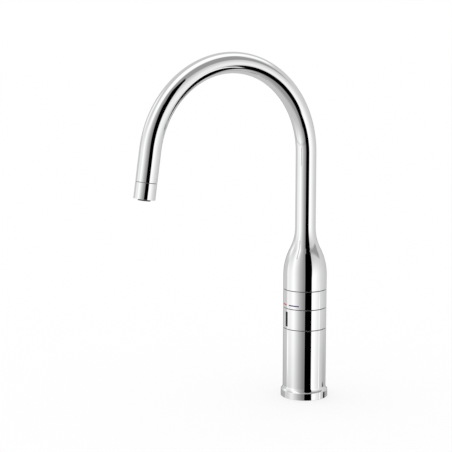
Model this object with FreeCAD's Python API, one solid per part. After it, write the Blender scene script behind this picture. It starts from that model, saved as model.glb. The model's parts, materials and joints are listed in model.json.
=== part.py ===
"""Sensor kitchen tap: every physical piece as its own solid, in millimetres.

Frame: +Z is up and the origin is the centre of the foot's underside. The spout
points to -Y, the hot supply is on -X and the cold supply on +X.
"""

import FreeCAD, Part
import math
import os

V = FreeCAD.Vector
UP = V(0, 0, 1)
SPOUT_DEG = 270.0
SENSOR_DEG = 265.4
REAR_DEG = 90.0
HOT_DEG = 180.0
COLD_DEG = 0.0
HOT_SIDE = -1
COLD_SIDE = 1

# Clearances between pieces
FIT = 0.05
RUNNING = 0.08
SLIP = 0.3
SQUEEZE = 0.15
EDGE_BREAK = 0.2

# Screw heads, as shares of the head's own radius or height
SOCKET_SHARE = 0.45
SOCKET_DEPTH_SHARE = 0.6
HEAD_RIM_SHARE = 0.25
HEAD_CROWN_SHARE = 0.8

# Foot and body shell
FOOT_R = 27.2
FOOT_BAND_H = 8.3
FOOT_FLARE_H = 4.6
FOOT_EDGE_R = 0.6
FOOT_OPENING_R = 19.0
FOOT_FLANGE_T = 3.5
GASKET_R = 24.0
GASKET_W = 2.6
GASKET_T = 2.0
BODY_R = 25.0
SHELL_WALL = 2.2
BODY_H = 81.4

# Rings on the body and the joint lines between them
JOINT_GAP = 0.7
JOINT_RECESS = 0.6
SENSOR_RING_H = 23.5
TEMPERATURE_RING_H = 20.8
RING_RIB_W = 4.0
RING_RIB_DEPTH = 1.4
RING_RIB_COUNT = 3
MARK_Z = 4.0
MARK_H = 1.3
MARK_DEPTH = 0.3
MARK_GAP_DEG = 5.0
MARK_SPAN_DEG = 31.5

# Shoulder and spout
SHOULDER_STRAIGHT_H = 15.95
SHOULDER_CONVEX_R = 67.0
SHOULDER_CONCAVE_R = 56.0
SHOULDER_WALL = 3.0
SHOULDER_BOSS_WALL = 3.0
SHOULDER_POCKET_H = 24.0
SHOULDER_WEB_W = 9.0
SPIGOT_L = 12.0
WATERWAY_R = 7.6
TUBE_R = 11.7
TUBE_WALL = 1.2
UPRIGHT_H = 85.9
ARCH_R = 105.3
ARCH_SWEEP = 171.25
OUTLET_RUN = 34.5

# Aerator
COLLAR_GAP = 0.45
COLLAR_L = 17.75
COLLAR_SPIGOT_L = 7.0
COLLAR_BORE_R = 9.0
COLLAR_LIP_T = 1.5
NOZZLE_R = 6.8
NOZZLE_PROUD = 1.6
INSERT_L = 8.0
SCREEN_T = 0.8
AERATOR_SEAL_T = 2.0
AERATOR_SEAL_W = 2.4
JET_R = 0.7
JET_PITCH = 2.3

# Swivel post, bushes and O-rings
POST_R = 10.0
POST_TOP_R = 9.0
POST_BORE_R = 6.2
POST_STEP_Z = 12.2
BUSH_H = 9.0
BUSH_WALL = 3.1
UPPER_BUSH_H = 8.0
UPPER_BUSH_WALL = 1.9
BUSH_SPACING = 19.0
POST_TOP_PLAY = 0.5
SEAL_WIRE_R = 1.3
SEAL_GROOVE_DEPTH = 0.8
SEAL_FIRST_Z = 5.5
SEAL_PITCH = 7.0
SWIVEL_HALF_DEG = 60.0
GRUB_R = 2.0
GRUB_Z = 7.7
GRUB_TIP_R = 1.5
GRUB_GROOVE_DEPTH = 2.0
GRUB_SOCKET_R = 1.15
GRUB_SOCKET_L = 2.5
GRUB_INSET = 0.3

# Inlet plate
PLATE_T = 11.0
INLET_X = 11.0
INLET_Y = 2.0
INLET_THREAD_R = 4.5
STRAINER_T = 1.2
STRAINER_HOLE_R = 0.9
STRAINER_HOLE_PITCH = 2.4
STUD_Y = -13.0
STUD_THREAD_R = 3.4
PLATE_SCREW_DEGREES = (40.0, 140.0, 235.0)
PLATE_SCREW_RING_R = 16.0
PLATE_SCREW_R = 1.5
PLATE_SCREW_HEAD_R = 2.75
PLATE_SCREW_HEAD_H = 1.7
PLATE_SCREW_L = 18.0
CABLE_DEG = 310.0
CABLE_RING_R = 14.5
CABLE_HOLE_R = 3.9
CABLE_BORE_R = 1.9
CABLE_GROMMET_L = 6.0
CABLE_SLOT_W = 5.0
CABLE_SLOT_DEPTH = 3.2

# Valve body and non-return valves
VALVE_BODY_H = 50.0
CUP_RIM_W = 3.8
CHANNEL_R = 1.8
CHECK_R = 5.4
CHECK_CAGE_L = 19.4
CHECK_CAGE_WALL = 1.2
CHECK_SEAT_T = 2.0
CHECK_SEAT_HOLE_R = 2.6
CHECK_GUIDE_Z = 12.4
CHECK_GUIDE_T = 2.0
CHECK_FLOW_HOLE_R = 0.9
CHECK_FLOW_HOLES = 6
POPPET_R = 3.6
POPPET_T = 1.6
POPPET_STEM_R = 1.2
POPPET_STEM_L = 12.6
CHECK_SPRING_WIRE = 0.6
CHECK_SPRING_R = 2.2
CHECK_SPRING_TURNS = 5
SHELL_SEAL_Z = 30.0
SHELL_SEAL_WIRE_R = 1.15
POST_SEAT_L = 8.0

# Mixing discs and their drive
PORT_SEAL_T = 1.2
DISC_T = 4.0
DISC_BORE_PLAY = 0.4
DISC_PORT_W = 4.4
DISC_PORT_HALF_DEG = 14.0
DISC_TAB_W = 4.0
DISC_TAB_L = 1.6
DISC_TAB_DEGREES = (65.0, 245.0)
MIXING_SLOT_DEPTH = 2.2
MIXING_SLOT_HALF_DEG = 66.0
DRIVE_LUG_R = 1.2
DRIVE_LUG_L = 1.4
DRIVE_LUG_DEGREES = (195.0, 345.0)
DRIVE_FLANGE_T = 3.0
DRIVE_WALL = 2.2
DRIVE_FLAT_DEPTH = 0.7
HUB_Z = 7.5
HUB_T = 4.0
TEMPERATURE_HALF_DEG = 40.0
STOP_PIN_R = 1.0
STOP_PIN_L = 6.0
STOP_PIN_INSET = 3.5

# Valve cover
COVER_T = 4.0
COVER_SCREW_DEGREES = (20.0, 110.0, 200.0, 290.0)
COVER_SCREW_R = 1.25
COVER_SCREW_HEAD_R = 1.8
COVER_SCREW_HEAD_H = 1.4
COVER_SCREW_L = 12.0

# Sensor
WINDOW_W = 4.2
WINDOW_H = 17.4
WINDOW_Z = 2.6
WINDOW_CORNER_R = 0.6
WINDOW_RECESS = 0.4
WINDOW_FLANGE_T = 1.3
WINDOW_FLANGE_RIM = 1.6
WINDOW_GASKET_T = 0.9
HOLDER_HALF_W = 8.0
HOLDER_WALL = 2.0
HOLDER_FOOT_T = 2.5
HOLDER_FOOT_RIM = 1.0
HOLDER_CHEEK_T = 1.2
HOLDER_SCREW_RIM = 1.6
HOLDER_SCREW_R = 1.25
HOLDER_SCREW_HEAD_R = 2.2
HOLDER_SCREW_HEAD_H = 1.5
HOLDER_SCREW_L = 5.5
BOARD_T = 1.4
BOARD_HALF_W = 6.5
BOARD_MARGIN = 1.2
DIODE_R = 1.5
DIODE_BASE_R = 1.9
DIODE_BASE_L = 0.8
DIODE_L = 3.1
DIODE_PLAY = 0.4
DIODE_PITCH = 8.6

# Solenoid valve
SOLENOID_Y = 11.0
SOLENOID_R = 7.8
SOLENOID_DEPTH = 21.5
SOLENOID_INLET_DEPTH = 2.0
SOLENOID_INLET_WALL = 0.8
SOLENOID_SEAT_WALL = 1.2
SOLENOID_OUTLET_R = 2.4
SOLENOID_LINK_Z = 4.9
SOLENOID_LINK_R = 2.0
MIXED_CHANNEL_R = 1.5
MIXED_CHANNEL_DEG = 35.0
DIAPHRAGM_T = 1.6
BONNET_T = 4.0
ARMATURE_WALL = 0.8
ARMATURE_END_T = 1.5
PLUNGER_R = 3.0
PLUNGER_L = 18.0
PLUNGER_TIP_PLAY = 0.2
PLUNGER_SPRING_L = 6.3
PLUNGER_SPRING_WIRE = 0.6
PLUNGER_SPRING_R = 2.2
PLUNGER_SPRING_TURNS = 4
COIL_L = 17.5
YOKE_WALL = 0.5
YOKE_END_T = 1.4
PLUG_T = 3.0
PLUG_HOLE_R = 2.0

# Heights worked out from the sizes above
PLATE_Z = FOOT_FLANGE_T
PLATE_TOP = PLATE_Z + PLATE_T
RIM_TOP = PLATE_TOP + VALVE_BODY_H
COVER_TOP = RIM_TOP + COVER_T
DRIVE_Z = RIM_TOP - SLIP - DRIVE_FLANGE_T
MOVING_DISC_Z = DRIVE_Z - DISC_T
FIXED_DISC_Z = MOVING_DISC_Z - DISC_T
CUP_FLOOR = FIXED_DISC_Z - PORT_SEAL_T
POST_Z = CUP_FLOOR - POST_SEAT_L
SENSOR_RING_Z = BODY_H + JOINT_GAP
SENSOR_RING_TOP = SENSOR_RING_Z + SENSOR_RING_H
TEMPERATURE_RING_Z = SENSOR_RING_TOP + JOINT_GAP
TEMPERATURE_RING_TOP = TEMPERATURE_RING_Z + TEMPERATURE_RING_H
SHOULDER_Z = TEMPERATURE_RING_TOP + JOINT_GAP
SHOULDER_CURVE_Z = SHOULDER_Z + SHOULDER_STRAIGHT_H
SHOULDER_TURN = math.acos(1 - (BODY_R - TUBE_R) / (SHOULDER_CONVEX_R + SHOULDER_CONCAVE_R))
SHOULDER_TOP = SHOULDER_CURVE_Z + (SHOULDER_CONVEX_R + SHOULDER_CONCAVE_R) * math.sin(SHOULDER_TURN)
ARCH_Z = SHOULDER_TOP + UPRIGHT_H
BUSH_Z = SHOULDER_Z + POST_STEP_Z
BUSH_TOP = BUSH_Z + BUSH_H
UPPER_BUSH_Z = BUSH_TOP + BUSH_SPACING
UPPER_BUSH_TOP = UPPER_BUSH_Z + UPPER_BUSH_H
POST_TOP = UPPER_BUSH_TOP - POST_TOP_PLAY
GRUB_CENTRE_Z = SHOULDER_Z + GRUB_Z
HUB_BOTTOM = TEMPERATURE_RING_Z + HUB_Z
HUB_TOP = HUB_BOTTOM + HUB_T
WINDOW_BOTTOM = SENSOR_RING_Z + WINDOW_Z
WINDOW_TOP = WINDOW_BOTTOM + WINDOW_H
STRAINER_Z = PLATE_TOP - STRAINER_T
CAGE_Z = PLATE_TOP
POPPET_Z = CAGE_Z + CHECK_SEAT_T
GUIDE_Z = CAGE_Z + CHECK_GUIDE_Z
CHECK_TOP = CAGE_Z + CHECK_CAGE_L + SLIP
SOLENOID_TOP = PLATE_TOP + SOLENOID_DEPTH
LINK_Z = SOLENOID_TOP + SOLENOID_LINK_Z
DIAPHRAGM_Z = SOLENOID_TOP - DIAPHRAGM_T
BONNET_Z = DIAPHRAGM_Z - BONNET_T
PLUNGER_TOP = DIAPHRAGM_Z - PLUNGER_TIP_PLAY
PLUNGER_Z = PLUNGER_TOP - PLUNGER_L
ARMATURE_Z = PLUNGER_Z - PLUNGER_SPRING_L - ARMATURE_END_T
COIL_Z = BONNET_Z - COIL_L
YOKE_Z = COIL_Z - YOKE_END_T

# Radii worked out from the sizes above
SHELL_BORE_R = BODY_R - SHELL_WALL
VALVE_BODY_R = SHELL_BORE_R - SLIP
CUP_R = VALVE_BODY_R - CUP_RIM_W
DISC_R = CUP_R - SLIP
DISC_BORE_R = POST_R + DISC_BORE_PLAY
PORT_RING_R = (DISC_BORE_R + DISC_R) / 2
CUP_SCREW_RING_R = CUP_R + CUP_RIM_W / 2
DRIVE_BORE_R = POST_R + RUNNING
DRIVE_R = DRIVE_BORE_R + DRIVE_WALL
STOP_PIN_RING_R = (DRIVE_R + CUP_R) / 2
HUB_R = SHELL_BORE_R - FIT
TUBE_BORE_R = TUBE_R - TUBE_WALL
SPIGOT_R = TUBE_BORE_R - FIT
BUSH_BORE_R = POST_TOP_R + RUNNING
BUSH_R = BUSH_BORE_R + BUSH_WALL
SHOULDER_BORE_R = BUSH_R + FIT
UPPER_BUSH_R = BUSH_BORE_R + UPPER_BUSH_WALL
SHOULDER_SEAL_BORE_R = UPPER_BUSH_R + FIT
ARMATURE_BORE_R = PLUNGER_R + RUNNING
ARMATURE_R = ARMATURE_BORE_R + ARMATURE_WALL
WINDOW_FLANGE_R = SHELL_BORE_R - WINDOW_GASKET_T
WINDOW_BACK_R = WINDOW_FLANGE_R - WINDOW_FLANGE_T
HOLDER_WALL_Y = WINDOW_BACK_R - DIODE_PLAY - DIODE_L - BOARD_T
HOLDER_SCREW_RING_R = VALVE_BODY_R - HOLDER_SCREW_HEAD_R - HOLDER_SCREW_RIM
HOLDER_SCREW_X = HOLDER_HALF_W + HOLDER_SCREW_HEAD_R + SLIP
CAGE_R = CHECK_R - FIT
CAGE_BORE_R = CAGE_R - CHECK_CAGE_WALL


def polar(radius, degrees):
    """X and Y of a point on a circle about the Z axis."""
    angle = math.radians(degrees)
    return radius * math.cos(angle), radius * math.sin(angle)


def rod(radius, z_low, z_high, x=0.0, y=0.0):
    """Upright cylinder."""
    return Part.makeCylinder(radius, z_high - z_low, V(x, y, z_low), UP)


def pipe(outer, inner, z_low, z_high, x=0.0, y=0.0):
    """Upright tube."""
    return rod(outer, z_low, z_high, x, y).cut(rod(inner, z_low, z_high, x, y))


def rod_along_y(radius, y_low, y_high, z, x=0.0):
    """Level cylinder along Y."""
    return Part.makeCylinder(radius, y_high - y_low, V(x, y_low, z), V(0, 1, 0))


def block(x_low, x_high, y_low, y_high, z_low, z_high):
    """Upright box between two corners."""
    size = (x_high - x_low, y_high - y_low, z_high - z_low)
    return Part.makeBox(*size, V(x_low, y_low, z_low))


def sector(outer, inner, z_low, z_high, from_deg, to_deg):
    """Part of an upright tube between two angles."""
    height = z_high - z_low
    wedge = Part.makeCylinder(outer, height, V(0, 0, z_low), UP, to_deg - from_deg)
    wedge.rotate(V(0, 0, 0), UP, from_deg)
    return wedge.cut(rod(inner, z_low, z_high))


def arc_slot(ring_r, width, middle_deg, half_deg, z_low, z_high):
    """Round-ended slot along an arc; half_deg reaches to the centre of an end."""
    half_width = width / 2
    slot = sector(ring_r + half_width, ring_r - half_width, z_low, z_high,
                  middle_deg - half_deg, middle_deg + half_deg)
    for end_deg in (middle_deg - half_deg, middle_deg + half_deg):
        slot = slot.fuse(rod(half_width, z_low, z_high, *polar(ring_r, end_deg)))
    return slot.removeSplitter()


def turned(start, *steps):
    """Solid of revolution about Z from (radius, height) points; a pair of points is an arc."""
    edges = []
    here = V(start[0], 0, start[1])
    for step in steps + (start,):
        if isinstance(step[0], tuple):
            middle, end = (V(radius, 0, height) for radius, height in step)
            edges.append(Part.Arc(here, middle, end).toShape())
        else:
            end = V(step[0], 0, step[1])
            edges.append(Part.LineSegment(here, end).toShape())
        here = end
    return Part.Face(Part.Wire(edges)).revolve(V(0, 0, 0), UP, 360)


def seal_ring(ring_r, wire_r, z):
    """O-ring about the Z axis."""
    return Part.makeTorus(ring_r, wire_r, V(0, 0, z), UP)


def hole_rows(radius, pitch, limit_r, z_low, z_high):
    """Hexagonal field of round holes inside a circle, as one compound."""
    holes = []
    reach = int(limit_r / pitch) + 1
    for row in range(-reach, reach + 1):
        for column in range(-reach, reach + 1):
            x = (column + row / 2) * pitch
            y = row * pitch * math.sin(math.radians(60))
            if math.hypot(x, y) + radius < limit_r:
                holes.append(rod(radius, z_low, z_high, x, y))
    return Part.makeCompound(holes)


def countersunk_profile(shank_r, head_r, head_h, length):
    """Flat-headed screw's plain shape with its head at height 0 and its shank downwards."""
    return turned((0, 0), (head_r, 0), (head_r, -head_h * HEAD_RIM_SHARE), (shank_r, -head_h),
                  (shank_r, -length), (0, -length))


def countersunk_screw(shank_r, head_r, head_h, length):
    """Flat-headed screw with a hexagon socket."""
    screw = countersunk_profile(shank_r, head_r, head_h, length)
    return screw.cut(hexagon(head_r * SOCKET_SHARE, -head_h * SOCKET_DEPTH_SHARE, 0))


def countersunk_hole(shank_r, head_r, head_h, length):
    """Hole that a flat-headed screw fits."""
    return countersunk_profile(shank_r + FIT, head_r + FIT, head_h + FIT, length)


def pan_screw(shank_r, head_r, head_h, length):
    """Screw whose head stands on height 0, with its shank downwards and a hexagon socket."""
    screw = turned((0, head_h), (head_r * HEAD_CROWN_SHARE, head_h), (head_r, head_h * HEAD_CROWN_SHARE),
                   (head_r, 0), (shank_r, 0), (shank_r, -length), (0, -length))
    return screw.cut(hexagon(head_r * SOCKET_SHARE, head_h * (1 - SOCKET_DEPTH_SHARE), head_h))


def hexagon(corner_r, z_low, z_high):
    """Upright hexagonal prism about the Z axis."""
    corners = [V(*polar(corner_r, 60 * k), z_low) for k in range(7)]
    return Part.Face(Part.makePolygon(corners)).extrude(V(0, 0, z_high - z_low))


def placed(shape, x=0.0, y=0.0, z=0.0):
    """Copy of a shape, moved."""
    copy = shape.copy()
    copy.translate(V(x, y, z))
    return copy


def upside_down(shape):
    """Copy of a shape turned over about the X axis."""
    copy = shape.copy()
    copy.rotate(V(0, 0, 0), V(1, 0, 0), 180)
    return copy


def facing_sensor(shape):
    """Copy of a shape that is drawn under the spout, turned round to where the sensor looks."""
    copy = shape.copy()
    copy.rotate(V(0, 0, 0), UP, SENSOR_DEG - SPOUT_DEG)
    return copy


def coil_spring(ring_r, wire, z_low, z_high, turns, x, y):
    """Compression spring between two seats, as one wound wire."""
    rise = z_high - z_low - wire
    path = Part.Wire(Part.makeHelix(rise / turns, rise, ring_r).Edges)
    circle = Part.Circle(V(ring_r, 0, 0), V(0, 1, 0), wire / 2).toShape()
    spring = path.makePipeShell([Part.Wire(circle)], True, True)
    return placed(spring, x, y, z_low + wire / 2)


def base_ring():
    """Band of the foot with a rounded upper edge, and the inner flange that the inlet plate stands on."""
    half_edge = FOOT_EDGE_R * (1 - math.cos(math.radians(45)))
    middle = (FOOT_R - half_edge, FOOT_BAND_H - half_edge)
    ring = turned((FOOT_OPENING_R, 0), (FOOT_R, 0), (FOOT_R, FOOT_BAND_H - FOOT_EDGE_R),
                  (middle, (FOOT_R - FOOT_EDGE_R, FOOT_BAND_H)), (SHELL_BORE_R, FOOT_BAND_H),
                  (SHELL_BORE_R, FOOT_FLANGE_T), (FOOT_OPENING_R, FOOT_FLANGE_T))
    return ring.cut(pipe(GASKET_R + GASKET_W / 2, GASKET_R - GASKET_W / 2, 0, GASKET_T))


def base_gasket():
    """Rubber ring in the groove under the foot, flush with it."""
    half_width = GASKET_W / 2 - FIT
    return pipe(GASKET_R + half_width, GASKET_R - half_width, 0, GASKET_T)


def body_shell():
    """Tube of the body with its lower edge flared out in a hollow arc to the foot's rounded edge."""
    flare_top = FOOT_BAND_H + FOOT_FLARE_H
    flare_r = FOOT_R - FOOT_EDGE_R
    spread = flare_r - BODY_R
    arc_r = (spread ** 2 + FOOT_FLARE_H ** 2) / (2 * spread)
    half_turn = math.asin(FOOT_FLARE_H / arc_r) / 2
    middle = (BODY_R + arc_r * (1 - math.cos(half_turn)), flare_top - arc_r * math.sin(half_turn))
    return turned((SHELL_BORE_R, FOOT_BAND_H), (flare_r, FOOT_BAND_H), (middle, (BODY_R, flare_top)),
                  (BODY_R, BODY_H - EDGE_BREAK), (BODY_R - EDGE_BREAK, BODY_H), (SHELL_BORE_R, BODY_H))


def plain_ring(z_low, z_high):
    """Ring of the body's section with its outer edges broken."""
    return turned((SHELL_BORE_R, z_low), (BODY_R - EDGE_BREAK, z_low), (BODY_R, z_low + EDGE_BREAK),
                  (BODY_R, z_high - EDGE_BREAK), (BODY_R - EDGE_BREAK, z_high), (SHELL_BORE_R, z_high))


def joint_ring(z_low):
    """Thin ring that fills a joint line, set back from the surface."""
    return pipe(BODY_R - JOINT_RECESS, SHELL_BORE_R + FIT, z_low, z_low + JOINT_GAP)


def inlet_places():
    """X and Y of the hot and the cold inlet."""
    return [(side * INLET_X, INLET_Y) for side in (HOT_SIDE, COLD_SIDE)]


def plate_screw_places():
    """X and Y of the screws that hold the inlet plate to the valve body."""
    return [polar(PLATE_SCREW_RING_R, degrees) for degrees in PLATE_SCREW_DEGREES]


def inlet_plate():
    """Bottom plate with the hose threads, the stud thread, the solenoid hole and the cable hole."""
    plate = rod(VALVE_BODY_R, PLATE_Z, PLATE_TOP)
    for x, y in inlet_places():
        plate = plate.cut(rod(INLET_THREAD_R, PLATE_Z, PLATE_TOP, x, y))
        plate = plate.cut(rod(CHECK_R, STRAINER_Z, PLATE_TOP, x, y))
    plate = plate.cut(rod(STUD_THREAD_R, PLATE_Z, PLATE_TOP, 0, STUD_Y))
    plate = plate.cut(rod(SOLENOID_R, PLATE_Z, PLATE_TOP, 0, SOLENOID_Y))
    plate = plate.cut(rod(CABLE_HOLE_R, PLATE_Z, PLATE_TOP, *polar(CABLE_RING_R, CABLE_DEG)))
    sink = upside_down(countersunk_hole(PLATE_SCREW_R, PLATE_SCREW_HEAD_R, PLATE_SCREW_HEAD_H, PLATE_T))
    for x, y in plate_screw_places():
        plate = plate.cut(placed(sink, x, y, PLATE_Z))
    return plate


def plate_screws():
    """Countersunk screws from below, through the inlet plate into the valve body."""
    screw = countersunk_screw(PLATE_SCREW_R, PLATE_SCREW_HEAD_R, PLATE_SCREW_HEAD_H, PLATE_SCREW_L)
    screw = upside_down(screw)
    return Part.makeCompound([placed(screw, x, y, PLATE_Z) for x, y in plate_screw_places()])


def cable_grommet():
    """Rubber bush in the plate's cable hole."""
    x, y = polar(CABLE_RING_R, CABLE_DEG)
    return pipe(CABLE_HOLE_R - FIT, CABLE_BORE_R, PLATE_Z, PLATE_Z + CABLE_GROMMET_L, x, y)


def cable_groove(z_low, z_high):
    """Upright groove for the sensor cable, in the side of the valve body and its cover."""
    half_width = CABLE_SLOT_W / 2
    groove = block(VALVE_BODY_R - CABLE_SLOT_DEPTH, BODY_R, -half_width, half_width, z_low, z_high)
    groove.rotate(V(0, 0, 0), UP, CABLE_DEG)
    return groove


def cable_notch():
    """Way for the cable from its hole out to the groove, under the valve body."""
    notch = block(CABLE_RING_R - CABLE_SLOT_W / 2, BODY_R, -CABLE_SLOT_W / 2, CABLE_SLOT_W / 2,
                  PLATE_TOP, PLATE_TOP + CABLE_SLOT_W)
    notch.rotate(V(0, 0, 0), UP, CABLE_DEG)
    return notch


def solenoid_inlet_xy():
    """Where the mixed water comes down into the ring channel round the solenoid's seat."""
    ring_r = (SOLENOID_OUTLET_R + SOLENOID_SEAT_WALL + SOLENOID_R - SOLENOID_INLET_WALL) / 2
    x, y = polar(ring_r, MIXED_CHANNEL_DEG)
    return x, SOLENOID_Y + y


def cover_screw_places():
    """X and Y of the screws that hold the valve cover."""
    return [polar(CUP_SCREW_RING_R, degrees) for degrees in COVER_SCREW_DEGREES]


def disc_tab(degrees, reach_r, width, z_low, z_high):
    """Radial tab, or its slot, at the edge of the fixed disc."""
    tab = block(CUP_R / 2, reach_r, -width / 2, width / 2, z_low, z_high)
    tab.rotate(V(0, 0, 0), UP, degrees)
    return tab.cut(rod(DISC_R - SLIP, z_low, z_high))


def valve_body():
    """Brass manifold: check valves and solenoid below, the mixing discs' cup on top."""
    body = rod(VALVE_BODY_R, PLATE_TOP, RIM_TOP)
    cuts = [rod(CUP_R, CUP_FLOOR, RIM_TOP), rod(POST_R + FIT, POST_Z, CUP_FLOOR)]
    cuts += [disc_tab(degrees, CUP_R + DISC_TAB_L, DISC_TAB_W + 2 * SLIP, CUP_FLOOR, RIM_TOP)
             for degrees in DISC_TAB_DEGREES]
    for x, y in inlet_places():
        side = math.copysign(1, x)
        cuts.append(rod(CHECK_R, PLATE_TOP, CHECK_TOP, x, y))
        cuts.append(rod(CHANNEL_R, CHECK_TOP - CHANNEL_R, CUP_FLOOR, side * PORT_RING_R, INLET_Y))
    cuts.append(rod(SOLENOID_R, PLATE_TOP, SOLENOID_TOP, 0, SOLENOID_Y))
    cuts.append(pipe(SOLENOID_R - SOLENOID_INLET_WALL, SOLENOID_OUTLET_R + SOLENOID_SEAT_WALL,
                     SOLENOID_TOP, SOLENOID_TOP + SOLENOID_INLET_DEPTH, 0, SOLENOID_Y))
    cuts.append(rod(MIXED_CHANNEL_R, SOLENOID_TOP, CUP_FLOOR, *solenoid_inlet_xy()))
    cuts.append(rod(SOLENOID_OUTLET_R, SOLENOID_TOP, LINK_Z + SOLENOID_OUTLET_R, 0, SOLENOID_Y))
    cuts.append(rod_along_y(SOLENOID_LINK_R, 0, SOLENOID_Y, LINK_Z))
    cuts.append(rod(POST_BORE_R, LINK_Z - SOLENOID_OUTLET_R, POST_Z))
    cuts += [rod(PLATE_SCREW_R + FIT, PLATE_TOP, PLATE_Z + PLATE_SCREW_L + SLIP, x, y)
             for x, y in plate_screw_places()]
    cuts += [rod(COVER_SCREW_R + FIT, COVER_TOP - COVER_SCREW_L - SLIP, RIM_TOP, x, y)
             for x, y in cover_screw_places()]
    groove_r = SHELL_BORE_R - FIT - 2 * SHELL_SEAL_WIRE_R - FIT
    groove_z = PLATE_TOP + SHELL_SEAL_Z
    groove_half = SHELL_SEAL_WIRE_R + FIT
    cuts.append(pipe(BODY_R, groove_r, groove_z - groove_half, groove_z + groove_half))
    cuts += [cable_groove(PLATE_TOP, RIM_TOP), cable_notch()]
    return body.cut(cuts)


def shell_seal():
    """O-ring that holds the body shell on the valve body."""
    return seal_ring(SHELL_BORE_R - FIT - SHELL_SEAL_WIRE_R, SHELL_SEAL_WIRE_R, PLATE_TOP + SHELL_SEAL_Z)


def inlet_strainers():
    """Perforated discs over the hose threads."""
    disc = rod(CHECK_R - FIT, STRAINER_Z, PLATE_TOP)
    disc = disc.cut(hole_rows(STRAINER_HOLE_R, STRAINER_HOLE_PITCH, INLET_THREAD_R, STRAINER_Z, PLATE_TOP))
    return Part.makeCompound([placed(disc, x, y) for x, y in inlet_places()])


def check_valve_cages():
    """Plastic cages with the seat below and the stem's guide above."""
    cage = pipe(CAGE_R, CAGE_BORE_R, CAGE_Z, CAGE_Z + CHECK_CAGE_L)
    seat = pipe(CAGE_R, CHECK_SEAT_HOLE_R, CAGE_Z, POPPET_Z)
    guide = pipe(CAGE_R, POPPET_STEM_R + RUNNING, GUIDE_Z, GUIDE_Z + CHECK_GUIDE_T)
    ring_r = (POPPET_STEM_R + CAGE_BORE_R) / 2
    for k in range(CHECK_FLOW_HOLES):
        guide = guide.cut(rod(CHECK_FLOW_HOLE_R, GUIDE_Z, GUIDE_Z + CHECK_GUIDE_T,
                              *polar(ring_r, 360 * k / CHECK_FLOW_HOLES)))
    cage = cage.fuse([seat, guide]).removeSplitter()
    return Part.makeCompound([placed(cage, x, y) for x, y in inlet_places()])


def check_poppet(side):
    """Mushroom valve that rests on its cage's seat."""
    x, y = side * INLET_X, INLET_Y
    head_top = POPPET_Z + POPPET_T
    head = rod(POPPET_R, POPPET_Z, head_top, x, y)
    return head.fuse(rod(POPPET_STEM_R, head_top, head_top + POPPET_STEM_L, x, y)).removeSplitter()


def check_spring(side):
    """Spring from the poppet's head up to the guide."""
    return coil_spring(CHECK_SPRING_R, CHECK_SPRING_WIRE, POPPET_Z + POPPET_T, GUIDE_Z, CHECK_SPRING_TURNS,
                       side * INLET_X, INLET_Y)


def disc_ports(z_low, z_high):
    """Openings of the hot, cold and mixed water through a disc or its seal."""
    ports = [arc_slot(PORT_RING_R, DISC_PORT_W, degrees, DISC_PORT_HALF_DEG, z_low, z_high)
             for degrees in (HOT_DEG, COLD_DEG, REAR_DEG)]
    return Part.makeCompound(ports)


def port_seal():
    """Rubber seal under the fixed disc."""
    seal = pipe(DISC_R, DISC_BORE_R, CUP_FLOOR, FIXED_DISC_Z)
    return seal.cut(disc_ports(CUP_FLOOR, FIXED_DISC_Z))


def fixed_disc():
    """Lower ceramic disc, kept from turning by two tabs."""
    disc = pipe(DISC_R, DISC_BORE_R, FIXED_DISC_Z, MOVING_DISC_Z)
    for degrees in DISC_TAB_DEGREES:
        tab = disc_tab(degrees, CUP_R + DISC_TAB_L - SLIP, DISC_TAB_W, FIXED_DISC_Z, MOVING_DISC_Z)
        disc = disc.fuse(tab)
    return disc.removeSplitter().cut(disc_ports(FIXED_DISC_Z, MOVING_DISC_Z))


def drive_lug_places():
    """X and Y of the lugs that turn the moving disc."""
    return [polar(PORT_RING_R, degrees) for degrees in DRIVE_LUG_DEGREES]


def moving_disc():
    """Upper ceramic disc: its blind slot joins the hot and cold ports to the mixed one."""
    disc = pipe(DISC_R, DISC_BORE_R, MOVING_DISC_Z, DRIVE_Z)
    disc = disc.cut(arc_slot(PORT_RING_R, DISC_PORT_W, REAR_DEG, MIXING_SLOT_HALF_DEG,
                             MOVING_DISC_Z, MOVING_DISC_Z + MIXING_SLOT_DEPTH))
    for x, y in drive_lug_places():
        disc = disc.cut(rod(DRIVE_LUG_R + FIT, DRIVE_Z - DRIVE_LUG_L - FIT, DRIVE_Z, x, y))
    return disc


def drive_flats(bore_r, reach, z_low, z_high):
    """Two blocks beside the sleeve's flats."""
    flat_x = bore_r - DRIVE_FLAT_DEPTH
    return [block(flat_x, reach, -reach, reach, z_low, z_high),
            block(-reach, -flat_x, -reach, reach, z_low, z_high)]


def drive_sleeve():
    """Sleeve round the post: its flange turns the moving disc, its flats take the hub."""
    flange_top = DRIVE_Z + DRIVE_FLANGE_T
    flange = pipe(DISC_R, DRIVE_BORE_R, DRIVE_Z, flange_top)
    sleeve = flange.fuse(pipe(DRIVE_R, DRIVE_BORE_R, DRIVE_Z, HUB_TOP))
    for x, y in drive_lug_places():
        sleeve = sleeve.fuse(rod(DRIVE_LUG_R, DRIVE_Z - DRIVE_LUG_L, DRIVE_Z, x, y))
    sleeve = sleeve.removeSplitter().cut(drive_flats(DRIVE_R, BODY_R, HUB_BOTTOM, HUB_TOP))
    slot_width = 2 * (STOP_PIN_R + SLIP)
    return sleeve.cut(arc_slot(STOP_PIN_RING_R, slot_width, SPOUT_DEG, TEMPERATURE_HALF_DEG,
                               DRIVE_Z, flange_top))


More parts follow.
